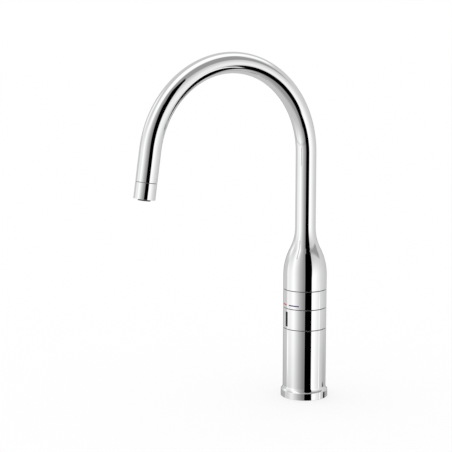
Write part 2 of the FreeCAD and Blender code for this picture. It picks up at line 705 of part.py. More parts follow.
def drive_hub():
    """Plastic hub that carries the temperature ring on the sleeve's flats."""
    bore_r = DRIVE_R + FIT
    bore = rod(bore_r, HUB_BOTTOM, HUB_TOP).cut(drive_flats(bore_r, BODY_R, HUB_BOTTOM, HUB_TOP))
    hub = rod(HUB_R, HUB_BOTTOM, HUB_TOP).cut(bore)
    notch_r = SHELL_BORE_R - RING_RIB_DEPTH - FIT
    for degrees in ring_rib_degrees():
        notch = block(notch_r, BODY_R, -RING_RIB_W / 2 - FIT, RING_RIB_W / 2 + FIT, HUB_BOTTOM, HUB_TOP)
        notch.rotate(V(0, 0, 0), UP, degrees)
        hub = hub.cut(notch)
    return hub


def ring_rib_degrees():
    """Angles of the ribs inside the temperature ring."""
    return [SPOUT_DEG + 360 * k / RING_RIB_COUNT for k in range(RING_RIB_COUNT)]


def mark(side, play):
    """Enamel mark on the temperature ring, or with some play the groove that it fills."""
    z_middle = TEMPERATURE_RING_Z + MARK_Z
    ends = [SPOUT_DEG + side * MARK_GAP_DEG, SPOUT_DEG + side * (MARK_GAP_DEG + MARK_SPAN_DEG)]
    floor_r = BODY_R - MARK_DEPTH
    return sector(BODY_R + play, floor_r, z_middle - MARK_H / 2, z_middle + MARK_H / 2, min(ends), max(ends))


def temperature_ring():
    """Turning ring with two mark grooves and the ribs that the hub drives."""
    ring = plain_ring(TEMPERATURE_RING_Z, TEMPERATURE_RING_TOP)
    rib_r = SHELL_BORE_R - RING_RIB_DEPTH
    for degrees in ring_rib_degrees():
        rib = block(rib_r, SHELL_BORE_R + SHELL_WALL / 2, -RING_RIB_W / 2, RING_RIB_W / 2,
                    TEMPERATURE_RING_Z + EDGE_BREAK, TEMPERATURE_RING_TOP - EDGE_BREAK)
        rib.rotate(V(0, 0, 0), UP, degrees)
        ring = ring.fuse(rib)
    ring = ring.removeSplitter()
    return ring.cut([mark(HOT_SIDE, SHELL_WALL), mark(COLD_SIDE, SHELL_WALL)])


def valve_cover():
    """Cover over the disc cup, with the holes for its screws, the stop pin and the sensor holder."""
    cover = pipe(VALVE_BODY_R, DRIVE_R + SLIP, RIM_TOP, COVER_TOP)
    sink = countersunk_hole(COVER_SCREW_R, COVER_SCREW_HEAD_R, COVER_SCREW_HEAD_H, COVER_T)
    cuts = [placed(sink, x, y, COVER_TOP) for x, y in cover_screw_places()]
    cuts += [facing_sensor(rod(HOLDER_SCREW_R + FIT, RIM_TOP, COVER_TOP, x, y))
             for x, y in holder_screw_places()]
    pin_x, pin_y = polar(STOP_PIN_RING_R, SPOUT_DEG)
    cuts.append(rod(STOP_PIN_R + FIT, RIM_TOP, RIM_TOP + STOP_PIN_INSET, pin_x, pin_y))
    cuts.append(cable_groove(RIM_TOP, COVER_TOP))
    return cover.cut(cuts)


def cover_screws():
    """Countersunk screws through the valve cover into the rim."""
    screw = countersunk_screw(COVER_SCREW_R, COVER_SCREW_HEAD_R, COVER_SCREW_HEAD_H, COVER_SCREW_L)
    return Part.makeCompound([placed(screw, x, y, COVER_TOP) for x, y in cover_screw_places()])


def stop_pin():
    """Dowel under the cover that ends the temperature ring's turn."""
    pin_top = RIM_TOP + STOP_PIN_INSET
    return rod(STOP_PIN_R, pin_top - STOP_PIN_L, pin_top, *polar(STOP_PIN_RING_R, SPOUT_DEG))


def post_seal_heights():
    """Heights of the two O-rings on the post."""
    return [BUSH_TOP + SEAL_FIRST_Z + k * SEAL_PITCH for k in range(2)]


def swivel_post():
    """Hollow brass post that the sleeve turns on and the spout swivels on."""
    post = rod(POST_R, POST_Z, BUSH_Z).fuse(rod(POST_TOP_R, BUSH_Z, POST_TOP)).removeSplitter()
    cuts = [rod(POST_BORE_R, POST_Z, POST_TOP)]
    groove_half = SEAL_WIRE_R + FIT
    for z in post_seal_heights():
        cuts.append(pipe(POST_R, POST_TOP_R - SEAL_GROOVE_DEPTH, z - groove_half, z + groove_half))
    tip_r = POST_R - GRUB_GROOVE_DEPTH + SLIP
    half_deg = SWIVEL_HALF_DEG + math.degrees(math.asin((GRUB_TIP_R + SLIP) / tip_r))
    groove_half = GRUB_TIP_R + SLIP
    cuts.append(sector(POST_R + SLIP, POST_R - GRUB_GROOVE_DEPTH, GRUB_CENTRE_Z - groove_half,
                       GRUB_CENTRE_Z + groove_half, REAR_DEG - half_deg, REAR_DEG + half_deg))
    return post.cut(cuts)


def spout_seals():
    """Two O-rings between the post and the shoulder's bore."""
    ring_r = SHOULDER_SEAL_BORE_R - 2 * FIT - SEAL_WIRE_R
    return Part.makeCompound([seal_ring(ring_r, SEAL_WIRE_R, z) for z in post_seal_heights()])


def lower_swivel_bush():
    """Bush on the post's step that carries the spout's weight."""
    return pipe(BUSH_R, BUSH_BORE_R, BUSH_Z, BUSH_TOP)


def upper_swivel_bush():
    """Bush near the post's top."""
    return pipe(UPPER_BUSH_R, BUSH_BORE_R, UPPER_BUSH_Z, UPPER_BUSH_TOP)


def spout_grub_screw():
    """Dog-point screw at the back of the shoulder, with its tip in the post's groove."""
    tip_y = POST_R - GRUB_GROOVE_DEPTH + SLIP
    body_y = SHOULDER_BORE_R + SLIP
    end_y = BODY_R - GRUB_INSET
    screw = rod_along_y(GRUB_TIP_R, tip_y, body_y, GRUB_CENTRE_Z)
    screw = screw.fuse(rod_along_y(GRUB_R, body_y, end_y, GRUB_CENTRE_Z)).removeSplitter()
    socket = hexagon(GRUB_SOCKET_R, 0, GRUB_SOCKET_L)
    socket.rotate(V(0, 0, 0), V(1, 0, 0), -90)
    return screw.cut(placed(socket, 0, end_y - GRUB_SOCKET_L, GRUB_CENTRE_Z))


def spout_shoulder():
    """Bottle-shaped casting from the rings up to the tube, in one convex and one hollow arc."""
    half = SHOULDER_TURN / 2
    convex_middle = (BODY_R - SHOULDER_CONVEX_R * (1 - math.cos(half)),
                     SHOULDER_CURVE_Z + SHOULDER_CONVEX_R * math.sin(half))
    meeting = (BODY_R - SHOULDER_CONVEX_R * (1 - math.cos(SHOULDER_TURN)),
               SHOULDER_CURVE_Z + SHOULDER_CONVEX_R * math.sin(SHOULDER_TURN))
    concave_middle = (TUBE_R + SHOULDER_CONCAVE_R * (1 - math.cos(half)),
                      SHOULDER_TOP - SHOULDER_CONCAVE_R * math.sin(half))
    spigot_top = SHOULDER_TOP + SPIGOT_L
    casting = turned((WATERWAY_R, spigot_top), (SPIGOT_R, spigot_top), (SPIGOT_R, SHOULDER_TOP),
                     (TUBE_R, SHOULDER_TOP), (concave_middle, meeting),
                     (convex_middle, (BODY_R, SHOULDER_CURVE_Z)), (BODY_R, SHOULDER_Z + EDGE_BREAK),
                     (BODY_R - EDGE_BREAK, SHOULDER_Z), (SHOULDER_BORE_R, SHOULDER_Z),
                     (SHOULDER_BORE_R, BUSH_TOP), (SHOULDER_SEAL_BORE_R, BUSH_TOP),
                     (SHOULDER_SEAL_BORE_R, UPPER_BUSH_TOP), (WATERWAY_R, UPPER_BUSH_TOP))
    pocket_top = SHOULDER_Z + SHOULDER_POCKET_H
    pocket = pipe(BODY_R - SHOULDER_WALL, SHOULDER_BORE_R + SHOULDER_BOSS_WALL, SHOULDER_Z, pocket_top)
    web = block(-SHOULDER_WEB_W / 2, SHOULDER_WEB_W / 2, 0, BODY_R, SHOULDER_Z, pocket_top)
    screw_hole = rod_along_y(GRUB_R + FIT, SHOULDER_BORE_R / 2, BODY_R, GRUB_CENTRE_Z)
    return casting.cut([pocket.cut(web), screw_hole])


def outlet_frame():
    """Place of the tube's end: its own -Z axis is the way the water leaves."""
    sweep = math.radians(ARCH_SWEEP)
    arc_y = -ARCH_R * (1 - math.cos(sweep))
    arc_z = ARCH_Z + ARCH_R * math.sin(sweep)
    end = V(0, arc_y - OUTLET_RUN * math.sin(sweep), arc_z + OUTLET_RUN * math.cos(sweep))
    return FreeCAD.Placement(end, FreeCAD.Rotation(V(1, 0, 0), ARCH_SWEEP - 180))


def at_outlet(shape):
    """Shape drawn about Z with the tube's end at height 0, moved to the spout's tip."""
    return shape.transformed(outlet_frame().toMatrix(), True)


def spout_tube():
    """Upright, arch and outlet run of the bent tube."""
    upright = pipe(TUBE_R, TUBE_BORE_R, SHOULDER_TOP, ARCH_Z)
    section = Part.Face([Part.Wire(Part.makeCircle(TUBE_R, V(0, 0, ARCH_Z), UP)),
                         Part.Wire(Part.makeCircle(TUBE_BORE_R, V(0, 0, ARCH_Z), UP))])
    arch = section.revolve(V(0, -ARCH_R, ARCH_Z), V(1, 0, 0), ARCH_SWEEP)
    outlet = at_outlet(pipe(TUBE_R, TUBE_BORE_R, 0, OUTLET_RUN))
    return upright.fuse([arch, outlet]).removeSplitter()


def aerator_shell():
    """Collar screwed into the tube's end, with a lip that keeps the insert."""
    bottom = -COLLAR_GAP - COLLAR_L
    lip_top = bottom + COLLAR_LIP_T
    spigot_r = TUBE_BORE_R - RUNNING
    lip_r = NOZZLE_R + FIT
    return at_outlet(turned((lip_r, bottom), (TUBE_R - EDGE_BREAK, bottom), (TUBE_R, bottom + EDGE_BREAK),
                            (TUBE_R, -COLLAR_GAP - EDGE_BREAK), (TUBE_R - EDGE_BREAK, -COLLAR_GAP),
                            (spigot_r, -COLLAR_GAP), (spigot_r, COLLAR_SPIGOT_L),
                            (COLLAR_BORE_R, COLLAR_SPIGOT_L), (COLLAR_BORE_R, lip_top), (lip_r, lip_top)))


def collar_seal():
    """Thin ring in the joint between the tube and the collar."""
    return at_outlet(pipe(TUBE_R - JOINT_RECESS, TUBE_BORE_R, -COLLAR_GAP, 0))


def aerator_insert():
    """Jet plate whose nozzle stands a little below the collar."""
    lip_top = -COLLAR_GAP - COLLAR_L + COLLAR_LIP_T
    bottom = lip_top - COLLAR_LIP_T - NOZZLE_PROUD
    top = lip_top + INSERT_L
    plate = rod(COLLAR_BORE_R - FIT, lip_top, top).fuse(rod(NOZZLE_R, bottom, lip_top)).removeSplitter()
    return at_outlet(plate.cut(hole_rows(JET_R, JET_PITCH, NOZZLE_R, bottom, top)))


def aerator_screen():
    """Perforated steel disc on top of the insert."""
    z_low = -COLLAR_GAP - COLLAR_L + COLLAR_LIP_T + INSERT_L
    z_high = z_low + SCREEN_T
    disc = rod(COLLAR_BORE_R - FIT, z_low, z_high)
    return at_outlet(disc.cut(hole_rows(JET_R, JET_PITCH, NOZZLE_R, z_low, z_high)))


def aerator_seal():
    """Rubber washer above the screen."""
    z_low = -COLLAR_GAP - COLLAR_L + COLLAR_LIP_T + INSERT_L + SCREEN_T
    outer = COLLAR_BORE_R - FIT
    return at_outlet(pipe(outer, outer - AERATOR_SEAL_W, z_low, z_low + AERATOR_SEAL_T))


def window_slot(play, y_far, y_near):
    """Upright block with rounded corners, as wide and tall as the window's slot less some play."""
    half_w = WINDOW_W / 2 - play
    slot = block(-half_w, half_w, -y_far, -y_near, WINDOW_BOTTOM + play, WINDOW_TOP - play)
    corners = [edge for edge in slot.Edges if edge.BoundBox.YLength > y_far - y_near - FIT]
    return slot.makeFillet(WINDOW_CORNER_R, corners)


def sensor_ring():
    """Fixed ring with the window's slot."""
    ring = plain_ring(SENSOR_RING_Z, SENSOR_RING_TOP)
    return ring.cut(window_slot(0, 2 * BODY_R, POST_R))


def window_band(outer, inner):
    """Curved plate behind the window, as wide as the sensor holder."""
    z_low = WINDOW_BOTTOM - WINDOW_FLANGE_RIM
    z_high = WINDOW_TOP + WINDOW_FLANGE_RIM
    front = block(-HOLDER_HALF_W, HOLDER_HALF_W, -BODY_R, 0, z_low, z_high)
    return pipe(outer, inner, z_low, z_high).common(front)


def sensor_window():
    """Dark window set back in its slot, with a flange behind the ring."""
    face = pipe(BODY_R - WINDOW_RECESS, WINDOW_BACK_R, WINDOW_BOTTOM, WINDOW_TOP)
    plug = face.common(window_slot(FIT, BODY_R, POST_R))
    return plug.fuse(window_band(WINDOW_FLANGE_R, WINDOW_BACK_R)).removeSplitter()


def window_gasket():
    """Rubber frame between the window's flange and the ring."""
    frame = window_band(SHELL_BORE_R - SQUEEZE, WINDOW_FLANGE_R + FIT)
    return frame.cut(window_slot(0, BODY_R, POST_R))


def holder_screw_places():
    """X and Y of the screws that hold the sensor holder, before it is turned round."""
    screw_y = -math.sqrt(HOLDER_SCREW_RING_R ** 2 - HOLDER_SCREW_X ** 2)
    return [(side * HOLDER_SCREW_X, screw_y) for side in (-1, 1)]


def sensor_holder():
    """Plastic bracket on the valve cover that carries the board and backs the window."""
    foot_top = COVER_TOP + HOLDER_FOOT_T
    holder_top = WINDOW_TOP + WINDOW_FLANGE_RIM
    sleeve_r = DRIVE_R + 2 * SLIP
    screw_angle = math.asin(HOLDER_SCREW_X / HOLDER_SCREW_RING_R)
    head_angle = math.asin((HOLDER_SCREW_HEAD_R + HOLDER_FOOT_RIM) / HOLDER_SCREW_RING_R)
    half_deg = math.degrees(screw_angle + head_angle)
    foot = sector(VALVE_BODY_R, sleeve_r, COVER_TOP, foot_top, SPOUT_DEG - half_deg, SPOUT_DEG + half_deg)
    wall = block(-HOLDER_HALF_W, HOLDER_HALF_W, -HOLDER_WALL_Y, HOLDER_WALL - HOLDER_WALL_Y,
                 COVER_TOP, holder_top)
    cheek_y = math.sqrt(WINDOW_BACK_R ** 2 - HOLDER_HALF_W ** 2) - FIT
    cheeks = [block(x, x + HOLDER_CHEEK_T, -cheek_y, -HOLDER_WALL_Y,
                    WINDOW_BOTTOM - WINDOW_FLANGE_RIM, holder_top)
              for x in (-HOLDER_HALF_W, HOLDER_HALF_W - HOLDER_CHEEK_T)]
    holder = foot.fuse([wall] + cheeks).removeSplitter()
    cuts = [rod(HOLDER_SCREW_R + FIT, COVER_TOP, foot_top, x, y) for x, y in holder_screw_places()]
    return holder.cut(cuts + [rod(sleeve_r, COVER_TOP, holder_top)])


def holder_screws():
    """Pan-head screws through the holder's foot into the valve cover."""
    screw = pan_screw(HOLDER_SCREW_R, HOLDER_SCREW_HEAD_R, HOLDER_SCREW_HEAD_H, HOLDER_SCREW_L)
    foot_top = COVER_TOP + HOLDER_FOOT_T
    return Part.makeCompound([placed(screw, x, y, foot_top) for x, y in holder_screw_places()])


def sensor_board():
    """Circuit board on the front of the holder's wall."""
    return block(-BOARD_HALF_W, BOARD_HALF_W, -HOLDER_WALL_Y - BOARD_T, -HOLDER_WALL_Y,
                 WINDOW_BOTTOM - BOARD_MARGIN, WINDOW_TOP + BOARD_MARGIN)


def diode(side):
    """Round-nosed infrared diode on the board, above or below the window's middle."""
    z = (WINDOW_BOTTOM + WINDOW_TOP + side * DIODE_PITCH) / 2
    board_y = HOLDER_WALL_Y + BOARD_T
    nose_y = board_y + DIODE_L - DIODE_R
    base = rod_along_y(DIODE_BASE_R, -board_y - DIODE_BASE_L, -board_y, z)
    barrel = rod_along_y(DIODE_R, -nose_y, -board_y, z)
    return base.fuse([barrel, Part.makeSphere(DIODE_R, V(0, -nose_y, z))]).removeSplitter()


def diaphragm():
    """Rubber diaphragm that closes on the solenoid valve's seat."""
    return rod(SOLENOID_R - FIT, DIAPHRAGM_Z, SOLENOID_TOP, 0, SOLENOID_Y)


def armature_guide():
    """Flange under the diaphragm with the closed tube that the plunger slides in."""
    flange = rod(SOLENOID_R - FIT, BONNET_Z, DIAPHRAGM_Z)
    guide = flange.fuse(rod(ARMATURE_R, ARMATURE_Z, BONNET_Z)).removeSplitter()
    guide = guide.cut(rod(ARMATURE_BORE_R, ARMATURE_Z + ARMATURE_END_T, DIAPHRAGM_Z))
    return placed(guide, 0, SOLENOID_Y)


def solenoid_plunger():
    """Steel plunger under the diaphragm."""
    return rod(PLUNGER_R, PLUNGER_Z, PLUNGER_TOP, 0, SOLENOID_Y)


def plunger_spring():
    """Spring from the closed end of the guide up to the plunger."""
    return coil_spring(PLUNGER_SPRING_R, PLUNGER_SPRING_WIRE, ARMATURE_Z + ARMATURE_END_T, PLUNGER_Z,
                       PLUNGER_SPRING_TURNS, 0, SOLENOID_Y)


def solenoid_coil():
    """Winding round the guide tube."""
    outer = SOLENOID_R - 2 * FIT - YOKE_WALL
    return pipe(outer - FIT, ARMATURE_R + FIT, COIL_Z, BONNET_Z, 0, SOLENOID_Y)


def solenoid_yoke():
    """Steel cup round the coil."""
    outer = SOLENOID_R - FIT
    cup = pipe(outer, outer - YOKE_WALL, YOKE_Z, BONNET_Z)
    end = pipe(outer, ARMATURE_R + FIT, YOKE_Z, COIL_Z)
    return placed(cup.fuse(end).removeSplitter(), 0, SOLENOID_Y)


def solenoid_plug():
    """Threaded plug that holds the solenoid in from below, with a hole for its leads."""
    plug_top = min(YOKE_Z, ARMATURE_Z)
    return pipe(SOLENOID_R - FIT, PLUG_HOLE_R, plug_top - PLUG_T, plug_top, 0, SOLENOID_Y)


def pieces():
    """Every piece of the tap by its name."""
    return {
        "base_ring": base_ring(),
        "base_gasket": base_gasket(),
        "body_shell": body_shell(),
        "inlet_plate": inlet_plate(),
        "plate_screws": plate_screws(),
        "cable_grommet": cable_grommet(),
        "valve_body": valve_body(),
        "shell_seal": shell_seal(),
        "inlet_strainers": inlet_strainers(),
        "check_valve_cages": check_valve_cages(),
        "hot_poppet": check_poppet(HOT_SIDE),
        "cold_poppet": check_poppet(COLD_SIDE),
        "hot_check_spring": check_spring(HOT_SIDE),
        "cold_check_spring": check_spring(COLD_SIDE),
        "port_seal": port_seal(),
        "fixed_disc": fixed_disc(),
        "moving_disc": moving_disc(),
        "drive_sleeve": drive_sleeve(),
        "drive_hub": drive_hub(),
        "valve_cover": valve_cover(),
        "cover_screws": cover_screws(),
        "stop_pin": stop_pin(),
        "swivel_post": swivel_post(),
        "spout_seals": spout_seals(),
        "lower_swivel_bush": lower_swivel_bush(),
        "upper_swivel_bush": upper_swivel_bush(),
        "spout_grub_screw": spout_grub_screw(),
        "sensor_ring_gasket": joint_ring(BODY_H),
        "sensor_ring": facing_sensor(sensor_ring()),
        "bottom_guide_ring": joint_ring(SENSOR_RING_TOP),
        "temperature_ring": temperature_ring(),
        "hot_mark": mark(HOT_SIDE, 0),
        "cold_mark": mark(COLD_SIDE, 0),
        "top_guide_ring": joint_ring(TEMPERATURE_RING_TOP),
        "spout_shoulder": spout_shoulder(),
        "spout_tube": spout_tube(),
        "collar_seal": collar_seal(),
        "aerator_shell": aerator_shell(),
        "aerator_insert": aerator_insert(),
        "aerator_screen": aerator_screen(),
        "aerator_seal": aerator_seal(),
        "sensor_window": facing_sensor(sensor_window()),
        "window_gasket": facing_sensor(window_gasket()),
        "sensor_holder": facing_sensor(sensor_holder()),
        "holder_screws": facing_sensor(holder_screws()),
        "sensor_board": facing_sensor(sensor_board()),
        "ir_emitter": facing_sensor(diode(-1)),
        "ir_receiver": facing_sensor(diode(1)),
        "diaphragm": diaphragm(),
        "armature_guide": armature_guide(),
        "solenoid_plunger": solenoid_plunger(),
        "plunger_spring": plunger_spring(),
        "solenoid_coil": solenoid_coil(),
        "solenoid_yoke": solenoid_yoke(),
        "solenoid_plug": solenoid_plug(),
    }


os.makedirs("parts", exist_ok=True)
for name, shape in pieces().items():
    shape.exportStep(f"parts/{name}.step")
    print(f"{name}: {len(shape.Solids)} solid(s), {shape.Volume:.1f} mm3, valid {shape.isValid()}")
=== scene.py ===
"""Looks of a sensor kitchen tap: chrome shells and rings, enamel marks, a dark window and the inner pieces.

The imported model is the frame. Lengths are metres in its axes: +Z is up, the spout points to -Y, the hot
supply is on -X and the cold one on +X. The chrome pieces are fine surfaces with exact normals, because a
mirror shows every facet, and they stand where the nodes that they replace are.
"""

import json
import logging
import math
from dataclasses import dataclass, field
from enum import Enum
from typing import Any, Mapping, Sequence

import bpy
import numpy as np
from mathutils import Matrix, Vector

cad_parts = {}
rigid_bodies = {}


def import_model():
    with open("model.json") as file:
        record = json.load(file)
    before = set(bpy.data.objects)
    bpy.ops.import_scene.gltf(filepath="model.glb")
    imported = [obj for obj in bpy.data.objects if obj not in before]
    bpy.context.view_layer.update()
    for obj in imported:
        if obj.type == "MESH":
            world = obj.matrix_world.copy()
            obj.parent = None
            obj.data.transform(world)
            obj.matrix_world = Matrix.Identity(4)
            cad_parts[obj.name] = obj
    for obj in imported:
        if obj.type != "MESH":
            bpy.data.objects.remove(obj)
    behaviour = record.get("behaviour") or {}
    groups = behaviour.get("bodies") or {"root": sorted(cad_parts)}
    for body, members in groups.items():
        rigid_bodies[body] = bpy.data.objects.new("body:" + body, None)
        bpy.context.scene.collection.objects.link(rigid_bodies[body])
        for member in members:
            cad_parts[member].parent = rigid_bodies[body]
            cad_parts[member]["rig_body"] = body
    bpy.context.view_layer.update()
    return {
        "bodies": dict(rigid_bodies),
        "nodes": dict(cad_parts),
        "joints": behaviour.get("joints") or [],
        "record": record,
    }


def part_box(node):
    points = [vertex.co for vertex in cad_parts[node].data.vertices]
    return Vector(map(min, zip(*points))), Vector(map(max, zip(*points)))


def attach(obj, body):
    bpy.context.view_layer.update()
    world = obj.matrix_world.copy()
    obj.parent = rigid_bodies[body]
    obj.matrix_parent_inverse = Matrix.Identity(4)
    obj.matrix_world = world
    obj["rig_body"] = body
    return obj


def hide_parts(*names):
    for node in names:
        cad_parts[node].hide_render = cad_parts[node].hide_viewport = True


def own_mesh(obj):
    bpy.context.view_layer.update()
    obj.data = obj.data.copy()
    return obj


LOG = logging.getLogger("tap")
MM = 0.001
FULL_TURN = 2 * math.pi
TURN_STEPS = 192
SHARP_ANGLE = math.radians(35)
FILLET = 0.1 * MM
TINY = 1e-9
UP = np.array([0.0, 0.0, 1.0])
# Numbers of the corners before the outer and the inner wall of a ring's half-section
OUTER_WALL = 1
INNER_WALL = 3
Colour = tuple[float, float, float, float]
Triple = tuple[float, float, float]
Pair = tuple[float, float]


def grey(level: float) -> Colour:
    """Opaque grey of a linear level."""
    return (level, level, level, 1.0)


class Facing(Enum):
    """Directions from the tap's axis, as angles about +Z."""

    SPOUT = math.radians(270)
    SENSOR = math.radians(265.4)
    REAR = math.radians(90)


# Shader graphs


class Signal:
    """Value socket that takes part in arithmetic: each operation adds one Math node."""

    def __init__(self, graph: "Graph", socket: bpy.types.NodeSocket) -> None:
        """Keeps the graph and the socket.

        Args:
            graph: graph that new nodes go into.
            socket: output that holds the value.
        """
        self.graph = graph
        self.socket = socket

    def __add__(self, other: "Signal | float") -> "Signal":
        """Sum."""
        return self.graph.math("ADD", self, other)

    def __sub__(self, other: "Signal | float") -> "Signal":
        """Difference."""
        return self.graph.math("SUBTRACT", self, other)

    def __rsub__(self, other: float) -> "Signal":
        """Difference from a number."""
        return self.graph.math("SUBTRACT", other, self)

    def __mul__(self, other: "Signal | float") -> "Signal":
        """Product."""
        return self.graph.math("MULTIPLY", self, other)

    def __truediv__(self, other: "Signal | float") -> "Signal":
        """Quotient."""
        return self.graph.math("DIVIDE", self, other)

    def __neg__(self) -> "Signal":
        """Opposite."""
        return self.graph.math("MULTIPLY", self, -1.0)

    __radd__ = __add__


class Graph:
    """Node tree that is written as expressions."""

    def __init__(self, tree: bpy.types.NodeTree) -> None:
        """Starts with an empty tree.

        Args:
            tree: node tree of a material or world.
        """
        self.tree = tree
        tree.nodes.clear()

    def node(self, kind: str, settings: Mapping[str, Any], inputs: Mapping[str | int, Any]) -> bpy.types.Node:
        """Adds a node.

        Args:
            kind: node type.
            settings: properties, set before the sockets.
            inputs: values, signals or sockets by input name or number.

        Returns:
            The new node.
        """
        node = self.tree.nodes.new(kind)
        for name, value in settings.items():
            setattr(node, name, value)
        for key, value in inputs.items():
            if isinstance(value, Signal):
                self.tree.links.new(value.socket, node.inputs[key])
            elif isinstance(value, bpy.types.NodeSocket):
                self.tree.links.new(value, node.inputs[key])
            else:
                node.inputs[key].default_value = value
        return node

    def math(self, operation: str, *values: "Signal | float") -> Signal:
        """Math node on values.

        Args:
            operation: Blender's name of the operation.
            values: its operands.

        Returns:
            The result.
        """
        inputs = dict(enumerate(values))
        return Signal(self, self.node("ShaderNodeMath", {"operation": operation}, inputs).outputs[0])

    def rise(self, value: Signal, low: float, high: float) -> Signal:
        """Smooth step from 0 at low to 1 at high.

        Args:
            value: what the step goes by.
            low: where it starts.
            high: where it ends.

        Returns:
            The step.
        """
        settings = {"interpolation_type": "SMOOTHSTEP", "clamp": True}
        inputs = {"Value": value, "From Min": low, "From Max": high}
        return Signal(self, self.node("ShaderNodeMapRange", settings, inputs).outputs["Result"])

    def slope(self, value: Signal, low: float, high: float) -> Signal:
        """Straight ramp from 0 at low to 1 at high, level beyond them."""
        inputs = {"Value": value, "From Min": low, "From Max": high}
        return Signal(self, self.node("ShaderNodeMapRange", {"clamp": True}, inputs).outputs["Result"])

    def band(self, value: Signal, low: float, high: float, soft: Pair) -> Signal:
        """1 between low and high, with edges that are soft on each side."""
        enter = self.rise(value, low - soft[0], low + soft[0])
        return enter - self.rise(value, high - soft[1], high + soft[1])

    def blend(self, first: "Signal | float", second: "Signal | float", share: Signal) -> Signal:
        """first + (second - first) * share."""
        return first + share * (second - first)

    def mix(self, share: Signal, first: Colour, second: Colour) -> bpy.types.NodeSocket:
        """Colour between two.

        Args:
            share: 0 for the first colour, 1 for the second.
            first: colour at 0.
            second: colour at 1.

        Returns:
            The colour socket.
        """
        inputs = {0: share, 6: first, 7: second}
        return self.node("ShaderNodeMix", {"data_type": "RGBA"}, inputs).outputs[2]

    def object_place(self, stretch: Triple = (1, 1, 1)) -> bpy.types.NodeSocket:
        """Object coordinates, stretched by a factor along each axis."""
        coordinates = self.node("ShaderNodeTexCoord", {}, {}).outputs["Object"]
        return self.node("ShaderNodeMapping", {}, {"Vector": coordinates, "Scale": stretch}).outputs[0]

    def noise(self, place: bpy.types.NodeSocket, per_metre: float, detail: float = 3.0) -> Signal:
        """Cloudy value from 0 to 1 with so many spots in a metre."""
        inputs = {"Vector": place, "Scale": per_metre, "Detail": detail}
        return Signal(self, self.node("ShaderNodeTexNoise", {}, inputs).outputs[0])

    def bump(self, height: Signal, depth: float, strength: float) -> bpy.types.NodeSocket:
        """Normal of a surface raised by height times depth in metres."""
        inputs = {"Height": height, "Distance": depth, "Strength": strength}
        return self.node("ShaderNodeBump", {}, inputs).outputs[0]


# Finishes


@dataclass(frozen=True)
class Finish:
    """Surface finish; a subclass says how its sockets vary over the surface."""

    slot: str

    def sockets(self, graph: Graph) -> dict[str, Any]:
        """Principled sockets of the finish.

        Args:
            graph: graph of the finish's material.

        Returns:
            Values, signals or sockets by the shader's socket names.
        """
        raise NotImplementedError

    def material(self) -> bpy.types.Material:
        """Material with this finish.

        Returns:
            The new material.
        """
        material = bpy.data.materials.new(f"{self.slot}_finish")
        material.use_nodes = True
        graph = Graph(material.node_tree)
        shader = graph.node("ShaderNodeBsdfPrincipled", {}, self.sockets(graph))
        graph.node("ShaderNodeOutputMaterial", {}, {"Surface": shader.outputs[0]})
        return material


@dataclass(frozen=True)
class MirrorChrome(Finish):
    """Bright chrome plate with a faint polishing haze."""

    bright: Colour = (0.955, 0.957, 0.96, 1)
    hazy: Colour = (0.935, 0.94, 0.946, 1)
    haze_per_metre: float = 45.0
    haze_limits: Pair = (0.42, 0.7)
    swirl_per_metre: float = 700.0
    swirl_stretch: Triple = (1, 1, 0.15)
    swirl_limits: Pair = (0.5, 0.8)
    swirl_share: float = 0.3
    roughness: float = 0.012
    haze_roughness: float = 0.03

    def sockets(self, graph: Graph) -> dict[str, Any]:
        """Haze in cloudy patches, with fine swirls across it.

        Args:
            graph: graph of the finish's material.

        Returns:
            The shader's sockets.
        """
        haze = graph.rise(graph.noise(graph.object_place(), self.haze_per_metre), *self.haze_limits)
        swirls = graph.noise(graph.object_place(self.swirl_stretch), self.swirl_per_metre, detail=1)
        swirl = graph.rise(swirls, *self.swirl_limits)
        cloud = haze * (1 - self.swirl_share) + swirl * self.swirl_share
        return {"Base Color": graph.mix(cloud, self.bright, self.hazy),
                "Roughness": self.roughness + cloud * self.haze_roughness, "Metallic": 1.0}


@dataclass(frozen=True)
class MachinedMetal(Finish):
    """Turned metal with fine tool lines around the vertical and stains between them."""

    clean: Colour
    stained: Colour
    roughness: float
    lines_per_metre: float = 2600.0
    line_stretch: Triple = (0.02, 0.02, 1)
    line_depth: float = 0.012 * MM
    line_strength: float = 0.6
    line_roughness: float = 0.14
    stains_per_metre: float = 160.0
    stain_limits: Pair = (0.4, 0.75)
    stain_roughness: float = 0.12

    def sockets(self, graph: Graph) -> dict[str, Any]:
        """Level tool lines as noise drawn out around the piece, with cloudy stains.

        Args:
            graph: graph of the finish's material.

        Returns:
            The shader's sockets.
        """
        lines = graph.noise(graph.object_place(self.line_stretch), self.lines_per_metre, detail=2)
        stains = graph.noise(graph.object_place(), self.stains_per_metre, detail=4)
        stain = graph.rise(stains, *self.stain_limits)
        rough = self.roughness + lines * self.line_roughness + stain * self.stain_roughness
        return {"Base Color": graph.mix(stain, self.clean, self.stained), "Roughness": rough, "Metallic": 1.0,
                "Normal": graph.bump(lines, self.line_depth, self.line_strength)}


